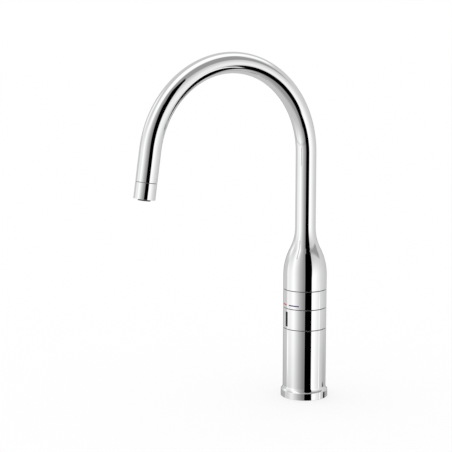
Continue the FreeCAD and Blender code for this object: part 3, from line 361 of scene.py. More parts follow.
@dataclass(frozen=True)
class Moulded(Finish):
    """Moulded plastic or rubber with a fine spark-eroded grain and a little dust."""

    clean: Colour
    dusty: Colour
    roughness: float
    grain_per_metre: float = 3800.0
    grain_depth: float = 0.02 * MM
    grain_strength: float = 0.5
    grain_roughness: float = 0.12
    dust_per_metre: float = 210.0
    dust_limits: Pair = (0.45, 0.8)
    dust_roughness: float = 0.08

    def sockets(self, graph: Graph) -> dict[str, Any]:
        """Fine grain in the bump and gloss, with dust in cloudy patches.

        Args:
            graph: graph of the finish's material.

        Returns:
            The shader's sockets.
        """
        place = graph.object_place()
        grain = graph.noise(place, self.grain_per_metre, detail=2)
        dust = graph.rise(graph.noise(place, self.dust_per_metre, detail=5), *self.dust_limits)
        return {"Base Color": graph.mix(dust, self.clean, self.dusty),
                "Roughness": self.roughness + grain * self.grain_roughness + dust * self.dust_roughness,
                "Normal": graph.bump(grain, self.grain_depth, self.grain_strength)}


@dataclass(frozen=True)
class Glossy(Finish):
    """Smooth hard surface under a clear gloss: enamel, lapped ceramic, window or resin."""

    clean: Colour
    clouded: Colour
    roughness: float
    coat: float
    shine: float = 0.5
    cloud_per_metre: float = 900.0
    cloud_limits: Pair = (0.35, 0.75)
    cloud_roughness: float = 0.06
    coat_roughness: float = 0.03

    def sockets(self, graph: Graph) -> dict[str, Any]:
        """Two near tones in soft clouds, and a gloss that dulls a little with them.

        Args:
            graph: graph of the finish's material.

        Returns:
            The shader's sockets.
        """
        clouds = graph.noise(graph.object_place(), self.cloud_per_metre, detail=4)
        cloud = graph.rise(clouds, *self.cloud_limits)
        return {"Base Color": graph.mix(cloud, self.clean, self.clouded), "Specular IOR Level": self.shine,
                "Roughness": self.roughness + cloud * self.cloud_roughness,
                "Coat Weight": self.coat, "Coat Roughness": self.coat_roughness}


@dataclass(frozen=True)
class WoundWire(Finish):
    """Enamelled wire wound in close level turns, with painted shade in the gaps between them.

    A wave texture goes through one wave in a length of 2 pi / (its own wave factor times its scale).
    """

    crest: Colour
    painted_gap_shade: Colour
    turn: float = 0.3 * MM
    wave_factor: float = 20.0
    ridge_depth: float = 0.08 * MM
    ridge_strength: float = 0.8
    streaks_per_metre: float = 300.0
    streak_stretch: Triple = (1, 1, 30)
    metallic: float = 0.85
    roughness: float = 0.22
    streak_roughness: float = 0.25

    def sockets(self, graph: Graph) -> dict[str, Any]:
        """Round ridges along the height, one for each turn of the wire, with the colour darkened in the gaps
        between turns as painted shade.

        Args:
            graph: graph of the finish's material.

        Returns:
            The shader's sockets.
        """
        settings = {"wave_type": "BANDS", "bands_direction": "Z", "wave_profile": "SIN"}
        scale = FULL_TURN / (self.wave_factor * self.turn)
        inputs = {"Vector": graph.object_place(), "Scale": scale, "Distortion": 0.0}
        ridge = Signal(graph, graph.node("ShaderNodeTexWave", settings, inputs).outputs[1])
        streak = graph.noise(graph.object_place(self.streak_stretch), self.streaks_per_metre, detail=2)
        # painted shade: the colour goes from the crest colour to a darker one in the gaps between turns
        return {"Base Color": graph.mix(ridge, self.painted_gap_shade, self.crest), "Metallic": self.metallic,
                "Roughness": self.roughness + streak * self.streak_roughness,
                "Normal": graph.bump(ridge, self.ridge_depth, self.ridge_strength)}


@dataclass(frozen=True)
class SolderMask(Finish):
    """Circuit board with raised tracks under its green mask.

    The tracks follow a brick pattern, whose bricks are a quarter of the pattern's unit high.
    """

    mask: Colour
    track: Colour
    pitch: float = 2.4 * MM
    brick_height: float = 0.25
    track_width: float = 0.03
    track_depth: float = 0.04 * MM
    track_strength: float = 0.7
    roughness: float = 0.28
    cloud_per_metre: float = 500.0
    cloud_roughness: float = 0.2

    def sockets(self, graph: Graph) -> dict[str, Any]:
        """Tracks as the mortar lines of a brick pattern, drawn over a faintly cloudy mask.

        Args:
            graph: graph of the finish's material.

        Returns:
            The shader's sockets.
        """
        place = graph.node("ShaderNodeMapping", {}, {
            "Vector": graph.object_place(), "Rotation": (math.pi / 2, 0, 0)}).outputs[0]
        brick = graph.node("ShaderNodeTexBrick", {}, {
            "Vector": place, "Color1": grey(0), "Color2": grey(0), "Mortar": grey(1),
            "Mortar Size": self.track_width, "Scale": self.brick_height / self.pitch})
        track = Signal(graph, brick.outputs[1])
        cloud = graph.noise(graph.object_place(), self.cloud_per_metre)
        return {"Base Color": graph.mix(track, self.mask, self.track),
                "Roughness": self.roughness + cloud * self.cloud_roughness,
                "Normal": graph.bump(track, self.track_depth, self.track_strength)}


FINISHES: tuple[Finish, ...] = (
    MirrorChrome("chrome"),
    MachinedMetal("brass", (0.80, 0.59, 0.27, 1), (0.62, 0.42, 0.18, 1), 0.2),
    MachinedMetal("steel", (0.62, 0.62, 0.63, 1), (0.48, 0.48, 0.49, 1), 0.2),
    Moulded("rubber", (0.018, 0.018, 0.019, 1), (0.045, 0.044, 0.042, 1), 0.6),
    Moulded("acetal", (0.84, 0.83, 0.79, 1), (0.76, 0.75, 0.70, 1), 0.35),
    Moulded("joint_plastic", (0.012, 0.012, 0.013, 1), (0.026, 0.026, 0.027, 1), 0.5),
    Moulded("nozzle_plastic", (0.045, 0.045, 0.048, 1), (0.075, 0.074, 0.072, 1), 0.42),
    Moulded("holder_plastic", (0.03, 0.03, 0.033, 1), (0.055, 0.054, 0.054, 1), 0.5),
    Glossy("ceramic", (0.87, 0.86, 0.82, 1), (0.80, 0.79, 0.75, 1), 0.12, 0.3),
    # the copper's second colour is painted shade for the gaps between the wire's turns
    WoundWire("copper", (0.72, 0.36, 0.18, 1), (0.30, 0.11, 0.05, 1)),
    Glossy("window", (0.004, 0.004, 0.005, 1), (0.008, 0.0075, 0.009, 1), 0.1, 0.0, 0.2),
    SolderMask("circuit_board", (0.02, 0.15, 0.06, 1), (0.07, 0.30, 0.12, 1)),
    Glossy("diode", (0.02, 0.016, 0.03, 1), (0.05, 0.04, 0.07, 1), 0.06, 0.5),
    Glossy("hot_enamel", (0.78, 0.07, 0.12, 1), (0.68, 0.05, 0.1, 1), 0.45, 0.0, 0.1),
    Glossy("cold_enamel", (0.055, 0.055, 0.22, 1), (0.042, 0.044, 0.18, 1), 0.45, 0.0, 0.1),
)


# Half-sections and the axes that they are carried round


@dataclass(frozen=True)
class Corner:
    """Corner of a half-section: radius, place along the axis, fillet and the fillet's steps."""

    radius: float
    along: float
    fillet: float = FILLET
    steps: int = 6


@dataclass(frozen=True)
class Profile:
    """Closed half-section in rows of (radius, along): points, outward normals and where each arc ends."""

    points: np.ndarray
    normals: np.ndarray
    ends: np.ndarray

    @classmethod
    def rounded(cls, corners: Sequence[Corner]) -> "Profile":
        """Polygon with each corner rounded by an arc tangent to its two sides.

        With a the unit direction into a corner, t the turn there and f the fillet, the arc starts at
        s = corner - a f tan(|t| / 2). Its points are s + sign(t) f (n(angle) - n(a)), where n is the normal
        on the right of a direction, while the angle goes from a's to a's plus t.

        Args:
            corners: corners, anticlockwise with radius to the right and along upwards.

        Returns:
            The rounded half-section.
        """
        places = np.array([(corner.radius, corner.along) for corner in corners])
        into = places - np.roll(places, 1, axis=0)
        heading = np.arctan2(into[:, 1], into[:, 0])
        turn = (np.roll(heading, -1) - heading + math.pi) % FULL_TURN - math.pi
        points = []
        normals = []
        for corner, place, start, bend in zip(corners, places, heading, turn):
            angle = start + bend * np.linspace(0, 1, corner.steps + 1)
            normal = np.stack([np.sin(angle), -np.cos(angle)], axis=1)
            back = corner.fillet * math.tan(abs(bend) / 2)
            first = place - back * np.array([math.cos(start), math.sin(start)])
            points.append(first + np.sign(bend) * corner.fillet * (normal - normal[0]))
            normals.append(normal)
        ends = np.cumsum([len(rows) for rows in points])
        return cls(np.concatenate(points), np.concatenate(normals), ends)

    def with_rows(self, corner: int, alongs: np.ndarray) -> "Profile":
        """Profile with more points on the straight side after a corner.

        Args:
            corner: number of the corner before the side.
            alongs: places of the new points, in the order of the side.

        Returns:
            The profile with the points added.
        """
        at = self.ends[corner]
        rows = np.stack([np.full(len(alongs), self.points[at - 1, 0]), alongs], axis=1)
        normals = np.repeat(self.normals[at - 1:at], len(alongs), axis=0)
        ends = self.ends + len(alongs) * (np.arange(len(self.ends)) > corner)
        points = np.insert(self.points, at, rows, axis=0)
        return Profile(points, np.insert(self.normals, at, normals, axis=0), ends)


@dataclass(frozen=True)
class UprightAxis:
    """The tap's own axis, where along is the height."""

    def place(self, along: np.ndarray) -> tuple[np.ndarray, np.ndarray, np.ndarray]:
        """Centres, side directions and tangents.

        Args:
            along: heights.

        Returns:
            One row of X, Y and Z for each height in each array.
        """
        rows = np.ones((len(along), 1))
        return along[:, None] * (0, 0, 1), rows * (0, 1, 0), rows * (0, 0, 1)


@dataclass(frozen=True)
class SpoutAxis:
    """Centre line of the spout: straight up, round an arc towards -Y and straight on."""

    arch_z: float
    arch_radius: float
    sweep: float

    def place(self, along: np.ndarray) -> tuple[np.ndarray, np.ndarray, np.ndarray]:
        """Centres, side directions and tangents.

        Along is the height up to the arch and then the length of the line. The angle turned is the length
        past the arch's start over its radius, kept between 0 and the sweep.

        Args:
            along: places on the line.

        Returns:
            One row of X, Y and Z for each place in each array.
        """
        angle = np.clip((along - self.arch_z) / self.arch_radius, 0, self.sweep)
        run = np.maximum(along - self.arch_z - self.arch_radius * self.sweep, 0)
        zero = np.zeros_like(along)
        sine = np.sin(angle)
        cosine = np.cos(angle)
        centre_y = -self.arch_radius * (1 - cosine) - run * sine
        centre_z = np.minimum(along, self.arch_z) + self.arch_radius * sine + run * cosine
        centre = np.stack([zero, centre_y, centre_z], axis=1)
        return centre, np.stack([zero, cosine, sine], axis=1), np.stack([zero, -sine, cosine], axis=1)


# Surfaces


@dataclass
class Surface:
    """Points, faces and, for a mirror, exact normals of one closed piece."""

    points: np.ndarray
    quads: np.ndarray
    triangles: np.ndarray = field(default_factory=lambda: np.empty((0, 3), int))
    normals: np.ndarray | None = None

    def to_object(self, name: str) -> bpy.types.Object:
        """Object of this surface, smooth shaded.

        Args:
            name: name of the object and its mesh.

        Returns:
            The new object, linked to the scene.
        """
        corners = np.concatenate([self.quads.ravel(), self.triangles.ravel()])
        sizes = np.repeat([4, 3], [len(self.quads), len(self.triangles)])
        starts = np.cumsum(sizes) - sizes
        mesh = bpy.data.meshes.new(name)
        mesh.vertices.add(len(self.points))
        mesh.vertices.foreach_set("co", self.points.astype(np.float32).ravel())
        mesh.loops.add(len(corners))
        mesh.loops.foreach_set("vertex_index", corners.astype(np.int32))
        mesh.polygons.add(len(sizes))
        mesh.polygons.foreach_set("loop_start", starts.astype(np.int32))
        mesh.update(calc_edges=True)
        mesh.polygons.foreach_set("use_smooth", np.ones(len(sizes), dtype=bool))
        if self.normals is None:
            mesh.set_sharp_from_angle(angle=SHARP_ANGLE)
        else:
            mesh.normals_split_custom_set_from_vertices(self.normals)
        piece = bpy.data.objects.new(name, mesh)
        bpy.context.scene.collection.objects.link(piece)
        return piece


def even_turns(steps: int = TURN_STEPS) -> np.ndarray:
    """Evenly spaced angles of one turn."""
    return np.linspace(0, FULL_TURN, steps, endpoint=False)


def carry(profile: Profile, axis: UprightAxis | SpoutAxis, turns: np.ndarray) -> tuple[Surface, np.ndarray]:
    """Half-section carried round an axis.

    A point is centre(along) + radius (cos(turn) X + sin(turn) side(along)), and its normal is the
    half-section's own, on that radial direction and on the axis's tangent.

    Args:
        profile: closed half-section.
        axis: axis that it goes round.
        turns: angles of the columns, all the way round.

    Returns:
        The closed surface, with its quads as a grid of rows and columns, and the grid of its points' numbers.
    """
    centre, side, tangent = axis.place(profile.points[:, 1])
    across = np.cos(turns)[None, :, None] * np.array([1.0, 0.0, 0.0])
    radial = across + np.sin(turns)[None, :, None] * side[:, None, :]
    points = centre[:, None, :] + profile.points[:, 0, None, None] * radial
    normals = profile.normals[:, 0, None, None] * radial + (profile.normals[:, 1, None] * tangent)[:, None, :]
    numbers = np.arange(points.shape[0] * points.shape[1]).reshape(points.shape[:2])
    beside = np.roll(numbers, -1, axis=1)
    quads = np.stack([numbers, beside, np.roll(beside, -1, axis=0), np.roll(numbers, -1, axis=0)], axis=-1)
    return Surface(points.reshape(-1, 3), quads, normals=normals.reshape(-1, 3)), numbers


def turned(corners: Sequence[Corner], axis: UprightAxis | SpoutAxis, longest: float = 0.0) -> Surface:
    """Closed turned piece.

    Args:
        corners: corners of its half-section.
        axis: axis that it goes round.
        longest: longest step along the outer and the inner wall of a ring's four corners, or 0 for any.

    Returns:
        The surface.
    """
    profile = Profile.rounded(corners)
    if longest:
        low = corners[OUTER_WALL].along
        high = corners[OUTER_WALL + 1].along
        rows = np.linspace(low, high, int((high - low) / longest) + 2)[1:-1]
        profile = profile.with_rows(INNER_WALL, rows[::-1]).with_rows(OUTER_WALL, rows)
    surface, _ = carry(profile, axis, even_turns())
    surface.quads = surface.quads.reshape(-1, 4)
    return surface


@dataclass(frozen=True)
class RoundedLoop:
    """Rounded rectangle as a loop: half width, half height and corner radius, with points for each side."""

    half_width: float
    half_height: float
    corner: float
    across: int
    upright: int
    corner_points: int = 6

    def points(self) -> tuple[np.ndarray, np.ndarray]:
        """Points and outward normals, anticlockwise from the middle of the lower left corner.

        A side is half an arc, a straight run and half an arc: its point is the run's place along the side
        plus the corner radius times a normal that swings from -45 to 0 and from 0 to 45 degrees.

        Returns:
            Rows of (x, z) for the points and for the normals.
        """
        wide = self.half_width - self.corner
        tall = self.half_height - self.corner
        sides = (((1, 0), (0, -1), wide, tall, self.across), ((0, 1), (1, 0), tall, wide, self.upright),
                 ((-1, 0), (0, 1), wide, tall, self.across), ((0, -1), (-1, 0), tall, wide, self.upright))
        points = []
        normals = []
        for along, outward, run, reach, count in sides:
            share = np.linspace(0, 1, count, endpoint=False)
            arc = min(self.corner_points / count, 0.5) if run > 0 else 0.5
            swing = np.interp(share, [0, arc, 1 - arc, 1], [-math.pi / 4, 0, 0, math.pi / 4])
            place = np.interp(share, [arc, max(1 - arc, arc + TINY)], [-run, run]) if run > 0 else 0 * share
            normal = np.outer(np.cos(swing), outward) + np.outer(np.sin(swing), along)
            points.append(np.outer(place, along) + reach * np.array(outward) + self.corner * normal)
            normals.append(normal)
        return np.concatenate(points), np.concatenate(normals)


@dataclass(frozen=True)
class WallHole:
    """Bevelled hole through a round upright wall, with the patch of the wall that is drawn around it."""

    facing: Facing
    middle: float
    loop: RoundedLoop
    bevel: float
    patch_angle: float
    patch_rise: float
    flat_rings: int = 5
    bevel_steps: int = 5

    def turns(self) -> np.ndarray:
        """Columns of the wall: fine ones over the patch first, then coarse ones over the rest.

        Returns:
            Their angles, which go once round.
        """
        middle = self.facing.value
        fine = np.linspace(middle - self.patch_angle, middle + self.patch_angle, self.loop.across + 1)
        rest = np.linspace(fine[-1], fine[0] + FULL_TURN, TURN_STEPS)
        return np.concatenate([fine, rest[1:-1]])

    def rows(self) -> np.ndarray:
        """Heights of the patch's rows."""
        return self.middle + np.linspace(-self.patch_rise, self.patch_rise, self.loop.upright + 1)

    def directions(self) -> tuple[np.ndarray, np.ndarray]:
        """Level direction that the hole faces, and the one across it."""
        ahead = np.array([math.cos(self.facing.value), math.sin(self.facing.value), 0.0])
        return ahead, np.array([-ahead[1], ahead[0], 0.0])

    def place(self, flat: np.ndarray, radius: np.ndarray) -> tuple[np.ndarray, np.ndarray]:
        """Points over flat places on round walls.

        A flat place (x, z) lies at x across the facing direction and at sqrt(radius^2 - x^2) along it.

        Args:
            flat: (x, z) places, in any grid.
            radius: wall radius at each.

        Returns:
            The points and the radial directions there.
        """
        ahead, across = self.directions()
        x = flat[..., 0, None]
        level = x * across + np.sqrt(radius[..., None] ** 2 - x ** 2) * ahead
        return level + (flat[..., 1, None] + self.middle) * UP, level / radius[..., None]

    def border(self, numbers: np.ndarray, low: int, high: int) -> np.ndarray:
        """Point numbers round the patch, anticlockwise from its lower left corner.

        Args:
            numbers: grid of the wall's point numbers.
            low: row of the patch's lower edge.
            high: row of its upper edge.

        Returns:
            The numbers, in the order of the hole's loop.
        """
        last = self.loop.across
        step = 1 if high > low else -1
        upward = np.arange(low, high, step)
        downward = np.arange(high, low, -step)
        return np.concatenate([numbers[low, :last], numbers[upward, last], numbers[high, last:0:-1],
                               numbers[downward, 0]])

    def cut(self, corners: Sequence[Corner], outer_side: int, inner_side: int) -> Surface:
        """Upright turned piece with this hole through its wall.

        From the patch's border a strip runs over the outer wall to the hole, round the bevel, through the
        wall, round the inner bevel and out to the border on the inner wall. A bevel's ring at angle t lies
        bevel (1 - sin t) outside the hole and bevel (1 - cos t) below the wall.

        Args:
            corners: corners of the half-section.
            outer_side: number of the corner before the outer wall.
            inner_side: number of the corner before the inner wall.

        Returns:
            The closed surface.
        """
        rows = self.rows()
        profile = Profile.rounded(corners).with_rows(inner_side, rows[::-1]).with_rows(outer_side, rows)
        surface, numbers = carry(profile, UprightAxis(), self.turns())
        outer_low = profile.ends[outer_side]
        inner_high = profile.ends[inner_side]
        kept = np.ones(numbers.shape, dtype=bool)
        for first in (outer_low, inner_high):
            kept[first:first + self.loop.upright, :self.loop.across] = False
        outer_border = self.border(numbers, outer_low, outer_low + self.loop.upright)
        inner_border = self.border(numbers, inner_high + self.loop.upright, inner_high)
        points, normals = self.strip(surface.points[outer_border], surface.points[inner_border])
        inside = len(surface.points) + np.arange(points.shape[0] * points.shape[1]).reshape(points.shape[:2])
        rings = np.concatenate([outer_border[None], inside, inner_border[None]])
        beside = np.roll(rings, -1, axis=1)
        strip = np.stack([rings[:-1], beside[:-1], beside[1:], rings[1:]], axis=-1).reshape(-1, 4)
        return Surface(np.concatenate([surface.points, points.reshape(-1, 3)]),
                       np.concatenate([surface.quads[kept], strip]),
                       normals=np.concatenate([surface.normals, normals.reshape(-1, 3)]))

    def strip(self, outer: np.ndarray, inner: np.ndarray) -> tuple[np.ndarray, np.ndarray]:
        """Rings of points from the outer border through the hole to the inner border.

        Args:
            outer: points of the outer border.
            inner: points of the inner border.

        Returns:
            Points and normals as grids of rings.
        """
        loop, outward = self.loop.points()
        _, across = self.directions()
        flat_normal = outward[:, :1] * across + outward[:, 1:] * UP
        angle = np.linspace(0, math.pi / 2, self.bevel_steps + 1)[:, None]
        share = np.linspace(0, 1, self.flat_rings + 2)[1:-1, None, None]
        spread = loop + self.bevel * (1 - np.sin(angle))[..., None] * outward
        grids = []
        for border, sign in ((outer, 1), (inner, -1)):
            radius = np.hypot(border[0, 0], border[0, 1])
            edge = np.stack([border @ across, border[:, 2] - self.middle], axis=1)
            flat = edge + share * (spread[0] - edge)
            depth = radius - sign * self.bevel * (1 - np.cos(angle)) * np.ones(len(loop))
            points, radial = self.place(np.concatenate([flat, spread]),
                                        np.concatenate([np.full(flat.shape[:2], radius), depth]))
            tilt = np.concatenate([np.zeros((self.flat_rings, 1)), angle])[..., None]
            grids.append((points, sign * np.cos(tilt) * radial - np.sin(tilt) * flat_normal))
        (outer_points, outer_normals), (inner_points, inner_normals) = grids
        return (np.concatenate([outer_points, inner_points[::-1]]),
                np.concatenate([outer_normals, inner_normals[::-1]]))


def pillow(rings: np.ndarray) -> Surface:
    """Closed piece through a stack of loops, with a pole at the middle of the first and of the last.

    Args:
        rings: points as (ring, place on the loop, X Y Z), anticlockwise as seen from before the first ring.

    Returns:
        The surface, whose normals Blender works out.
    """
    count, around = rings.shape[:2]
    numbers = np.arange(count * around).reshape(count, around)
    beside = np.roll(numbers, -1, axis=1)
    quads = np.stack([numbers[:-1], numbers[1:], beside[1:], beside[:-1]], axis=-1).reshape(-1, 4)
    first = np.full(around, count * around)
    triangles = np.concatenate([np.stack([first, numbers[0], beside[0]], axis=1),
                                np.stack([first + 1, beside[-1], numbers[-1]], axis=1)])
    poles = rings[[0, -1]].mean(axis=1)
    return Surface(np.concatenate([rings.reshape(-1, 3), poles]), quads, triangles)


# Sub-assemblies


class Bench:
    """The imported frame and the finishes, and what has been dressed so far."""

    def __init__(self, frame: Mapping[str, Any]) -> None:
        """Makes every finish's material once.
        """
        self.nodes = frame["nodes"]
        self.slots = {part["node"]: part["material_slot"] for part in frame["record"]["subparts"]}
        self.joints = frame["record"]["behaviour"]["joints"]
        self.materials = {finish.slot: finish.material() for finish in FINISHES}
        self.replaced: set[str] = set()

    def replace(self, node: str, surface: Surface) -> bpy.types.Object:
        """Puts a surface in a node's place, on its body and with its finish.

        Args:
            node: node that the surface stands for.
            surface: its new mesh.

        Returns:
            The new piece.
        """
        piece = surface.to_object(f"{node}_surface")
        slot = self.slots[node]
        piece.data.materials.append(self.materials[slot])
        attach(piece, self.nodes[node]["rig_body"])
        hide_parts(node)
        self.replaced.add(node)
        LOG.info("%s: %d faces, %s", node, len(piece.data.polygons), slot)
        return piece

    def dress_rest(self) -> None:
        """Gives every node that keeps its own mesh its finish."""
        for node, piece in self.nodes.items():
            if node not in self.replaced:
                piece.material_slots[0].material = self.materials[self.slots[node]]
                LOG.info("%s: kept, %s", node, self.slots[node])


def span(node: str) -> tuple[float, float, float]:
    """Radius, lowest and highest place of an upright node."""
    low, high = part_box(node)
    return high.x, low.z, high.z


def ring_corners(bore: float, radius: float, low: float, high: float, edge: float = FILLET) -> list[Corner]:
    """Half-section of a plain ring.

    Args:
        bore: radius of its hole.
        radius: radius of its outer wall.
        low: place along the axis where it starts.
        high: place where it ends.
        edge: fillet of its outer corners.

    Returns:
        The four corners.
    """
    return [Corner(bore, low), Corner(radius, low, edge), Corner(radius, high, edge), Corner(bore, high)]


@dataclass(frozen=True)
class Body:
    """Foot, body shell and the plain rings in the joints around the body."""

    wall: float = 2.2 * MM
    foot_opening: float = 19.0 * MM
    flange: float = 3.5 * MM
    groove_inner: float = 22.7 * MM
    groove_outer: float = 25.3 * MM
    groove_depth: float = 2.0 * MM
    gasket_bore: float = 22.75 * MM
    joint_bore: float = 22.85 * MM
    flare_height: float = 4.6 * MM
    edge: float = 0.2 * MM
    foot_edge: float = 0.6 * MM
    foot_edge_steps: int = 10
    seam_edge: float = 0.12 * MM
    flare_share: float = 0.985
    flare_steps: int = 20

    def build(self, bench: Bench) -> None:
        """Builds the foot, the shell and the rings.

        Args:
            bench: where the pieces go.
        """
        body_radius = span("sensor_ring")[0]
        bore = body_radius - self.wall
        bench.replace("base_ring", turned(self.foot_corners(bore), UprightAxis()))
        bench.replace("body_shell", turned(self.shell_corners(body_radius, bore), UprightAxis()))
        bores = {"base_gasket": self.gasket_bore, "sensor_ring_gasket": self.joint_bore,
                 "bottom_guide_ring": self.joint_bore, "top_guide_ring": self.joint_bore}
        for node, ring_bore in bores.items():
            bench.replace(node, turned(ring_corners(ring_bore, *span(node)), UprightAxis()))

    def foot_corners(self, bore: float) -> list[Corner]:
        """Half-section of the foot's band, with the gasket's groove and the flange inside.

        Args:
            bore: radius inside the band.

        Returns:
            Its corners.
        """
        radius, low, high = span("base_ring")
        groove_top = low + self.groove_depth
        return [Corner(self.foot_opening, low), Corner(self.groove_inner, low),
                Corner(self.groove_inner, groove_top), Corner(self.groove_outer, groove_top),
                Corner(self.groove_outer, low), Corner(radius, low, self.edge),
                Corner(radius, high, self.foot_edge, self.foot_edge_steps), Corner(bore, high),
                Corner(bore, self.flange), Corner(self.foot_opening, self.flange)]

    def shell_corners(self, body_radius: float, bore: float) -> list[Corner]:
        """Half-section of the shell; its flare is a hollow arc tangent to the body.

        With s the flare's spread and h its height, the arc's radius is (s^2 + h^2) / 2s, and its two tangents
        meet on the body's line, at the height where the lower one reaches it. The fillet takes nearly all of
        that radius, so that it stays clear of the lower corner's.

        Args:
            body_radius: radius of the body above the flare.
            bore: radius inside the shell.

        Returns:
            Its corners.
        """
        radius, low, high = span("body_shell")
        spread = radius - body_radius
        arc = (spread ** 2 + self.flare_height ** 2) / (2 * spread)
        half_turn = math.asin(self.flare_height / arc) / 2
        meeting = low + self.flare_height - arc * math.tan(half_turn)
        return [Corner(bore, low), Corner(radius, low, self.seam_edge),
                Corner(body_radius, meeting, arc * self.flare_share, self.flare_steps),
                Corner(body_radius, high, self.edge), Corner(bore, high)]


@dataclass(frozen=True)
class Sensor:
    """Sensor ring with its window."""

    wall: float = 2.2 * MM
    edge: float = 0.2 * MM
    slot_half_width: float = 2.1 * MM
    slot_corner: float = 0.6 * MM
    slot_below: float = 2.6 * MM
    slot_height: float = 17.4 * MM
    slot_across: int = 36
    slot_upright: int = 60
    bevel: float = 0.22 * MM
    patch_angle: float = math.radians(11)
    patch_margin: float = 1.4 * MM
    recess: float = 0.4 * MM
    play: float = 0.05 * MM
    flange_half_width: float = 8.0 * MM
    flange_rim: float = 1.6 * MM
    flange_front: float = 21.9 * MM
    flange_back: float = 20.6 * MM
    face_rings: Triple = (0.25, 0.6, 0.85)
    back_ring: float = 0.5

    def build(self, bench: Bench) -> None:
        """Builds the ring and its window.

        Args:
            bench: where the pieces go.
        """
        radius, low, high = span("sensor_ring")
        middle = low + self.slot_below + self.slot_height / 2
        loop = self.loop(self.slot_half_width, self.slot_height / 2)
        hole = WallHole(Facing.SENSOR, middle, loop, self.bevel, self.patch_angle,
                        self.slot_height / 2 + self.patch_margin)
        corners = ring_corners(radius - self.wall, radius, low, high, self.edge)
        bench.replace("sensor_ring", hole.cut(corners, OUTER_WALL, INNER_WALL))
        bench.replace("sensor_window", self.window(hole, radius - self.recess))

    def loop(self, half_width: float, half_height: float) -> RoundedLoop:
        """Loop with the slot's corners."""
        return RoundedLoop(half_width, half_height, self.slot_corner, self.slot_across, self.slot_upright)

    def window(self, hole: WallHole, face: float) -> Surface:
        """Window as a stack of loops: over its face, down its sides, out over its flange and across its back.

        Args:
            hole: slot that the window stands in.
            face: radius of the window's face.

        Returns:
            The closed surface.
        """
        half_width = self.slot_half_width - self.play
        half_height = self.slot_height / 2 - self.play
        plug = self.loop(half_width, half_height).points()[0]
        flange = self.loop(self.flange_half_width, self.slot_height / 2 + self.flange_rim).points()[0]
        inset = plug * (1 - self.play / half_width)
        stack = [(share * plug, face) for share in self.face_rings]
        stack += [(inset, face), (plug, face - self.play), (plug, self.flange_front),
                  (flange, self.flange_front), (flange, self.flange_back),
                  (self.back_ring * flange, self.flange_back)]
        flat = np.stack([loop for loop, _ in stack])
        radius = np.stack([np.full(len(loop), at) for loop, at in stack])
        return pillow(hole.place(flat, radius)[0])


@dataclass(frozen=True)
class TemperatureRing:
    """Turning ring with its two enamel marks."""

    wall: float = 2.2 * MM
    edge: float = 0.2 * MM
    mark_middle: float = 4.0 * MM
    mark_height: float = 1.3 * MM
    mark_depth: float = 0.3 * MM
    mark_gap: float = math.radians(5)
    mark_sweep: float = math.radians(31.5)
    mark_corner: float = 0.06 * MM
    mark_across: int = 10
    mark_upright: int = 14
    mark_corner_points: int = 4
    groove_edge: float = 0.03 * MM
    groove_edge_angle: float = math.radians(0.08)
    mark_steps: int = 64

    def build(self, bench: Bench) -> None:
        """Builds the ring and its marks.

        Args:
            bench: where the pieces go.
        """
        bench.replace("temperature_ring", self.ring())
        for node, side in (("hot_mark", -1), ("cold_mark", 1)):
            bench.replace(node, self.mark(side))

    def mark_ends(self, side: int) -> tuple[float, float]:
        """Lower and higher angle of a mark on one side of the spout's direction."""
        ends = sorted(side * (self.mark_gap + part) for part in (0, self.mark_sweep))
        return Facing.SPOUT.value + ends[0], Facing.SPOUT.value + ends[1]

    def ring(self) -> Surface:
        """Ring whose outer wall is set back by the marks' depth inside their grooves.

        Returns:
            The closed surface.
        """
        radius, low, high = span("temperature_ring")
        middle = low + self.mark_middle
        half = self.mark_height / 2
        rows = middle + np.array([-half - self.groove_edge, -half, half, half + self.groove_edge])
        corners = ring_corners(radius - self.wall, radius, low, high, self.edge)
        profile = Profile.rounded(corners).with_rows(OUTER_WALL, rows)
        ends = [self.mark_ends(side) for side in (-1, 1)]
        ease = self.groove_edge_angle
        breaks = np.array([(a - ease, a, b, b + ease) for a, b in ends]).ravel()
        turns = np.unique(np.concatenate([even_turns() + FULL_TURN / TURN_STEPS / 2, breaks]))
        surface, numbers = carry(profile, UprightAxis(), turns)
        in_groove = np.zeros(len(turns), dtype=bool)
        for a, b in ends:
            in_groove |= (turns >= a) & (turns <= b)
        first = profile.ends[OUTER_WALL]
        sunk = numbers[first + 1:first + 3][:, in_groove].ravel()
        surface.points[sunk, :2] *= (radius - self.mark_depth) / radius
        surface.quads = surface.quads.reshape(-1, 4)
        return surface

    def mark(self, side: int) -> Surface:
        """Enamel in one groove: a rounded section carried along the arc, flush with the ring.

        Args:
            side: -1 for the hot mark, 1 for the cold one.

        Returns:
            The closed surface.
        """
        radius, low, _ = span("temperature_ring")
        loop = RoundedLoop(self.mark_depth / 2, self.mark_height / 2, self.mark_corner, self.mark_across,
                           self.mark_upright, self.mark_corner_points).points()[0]
        start, end = self.mark_ends(side)
        turns = np.linspace(start, end, self.mark_steps)
        level = radius - self.mark_depth / 2 + loop[None, :, 0]
        height = np.broadcast_to(low + self.mark_middle + loop[None, :, 1], (self.mark_steps, len(loop)))
        x = np.cos(turns)[:, None] * level
        y = np.sin(turns)[:, None] * level
        return pillow(np.stack([x, y, height], axis=-1))


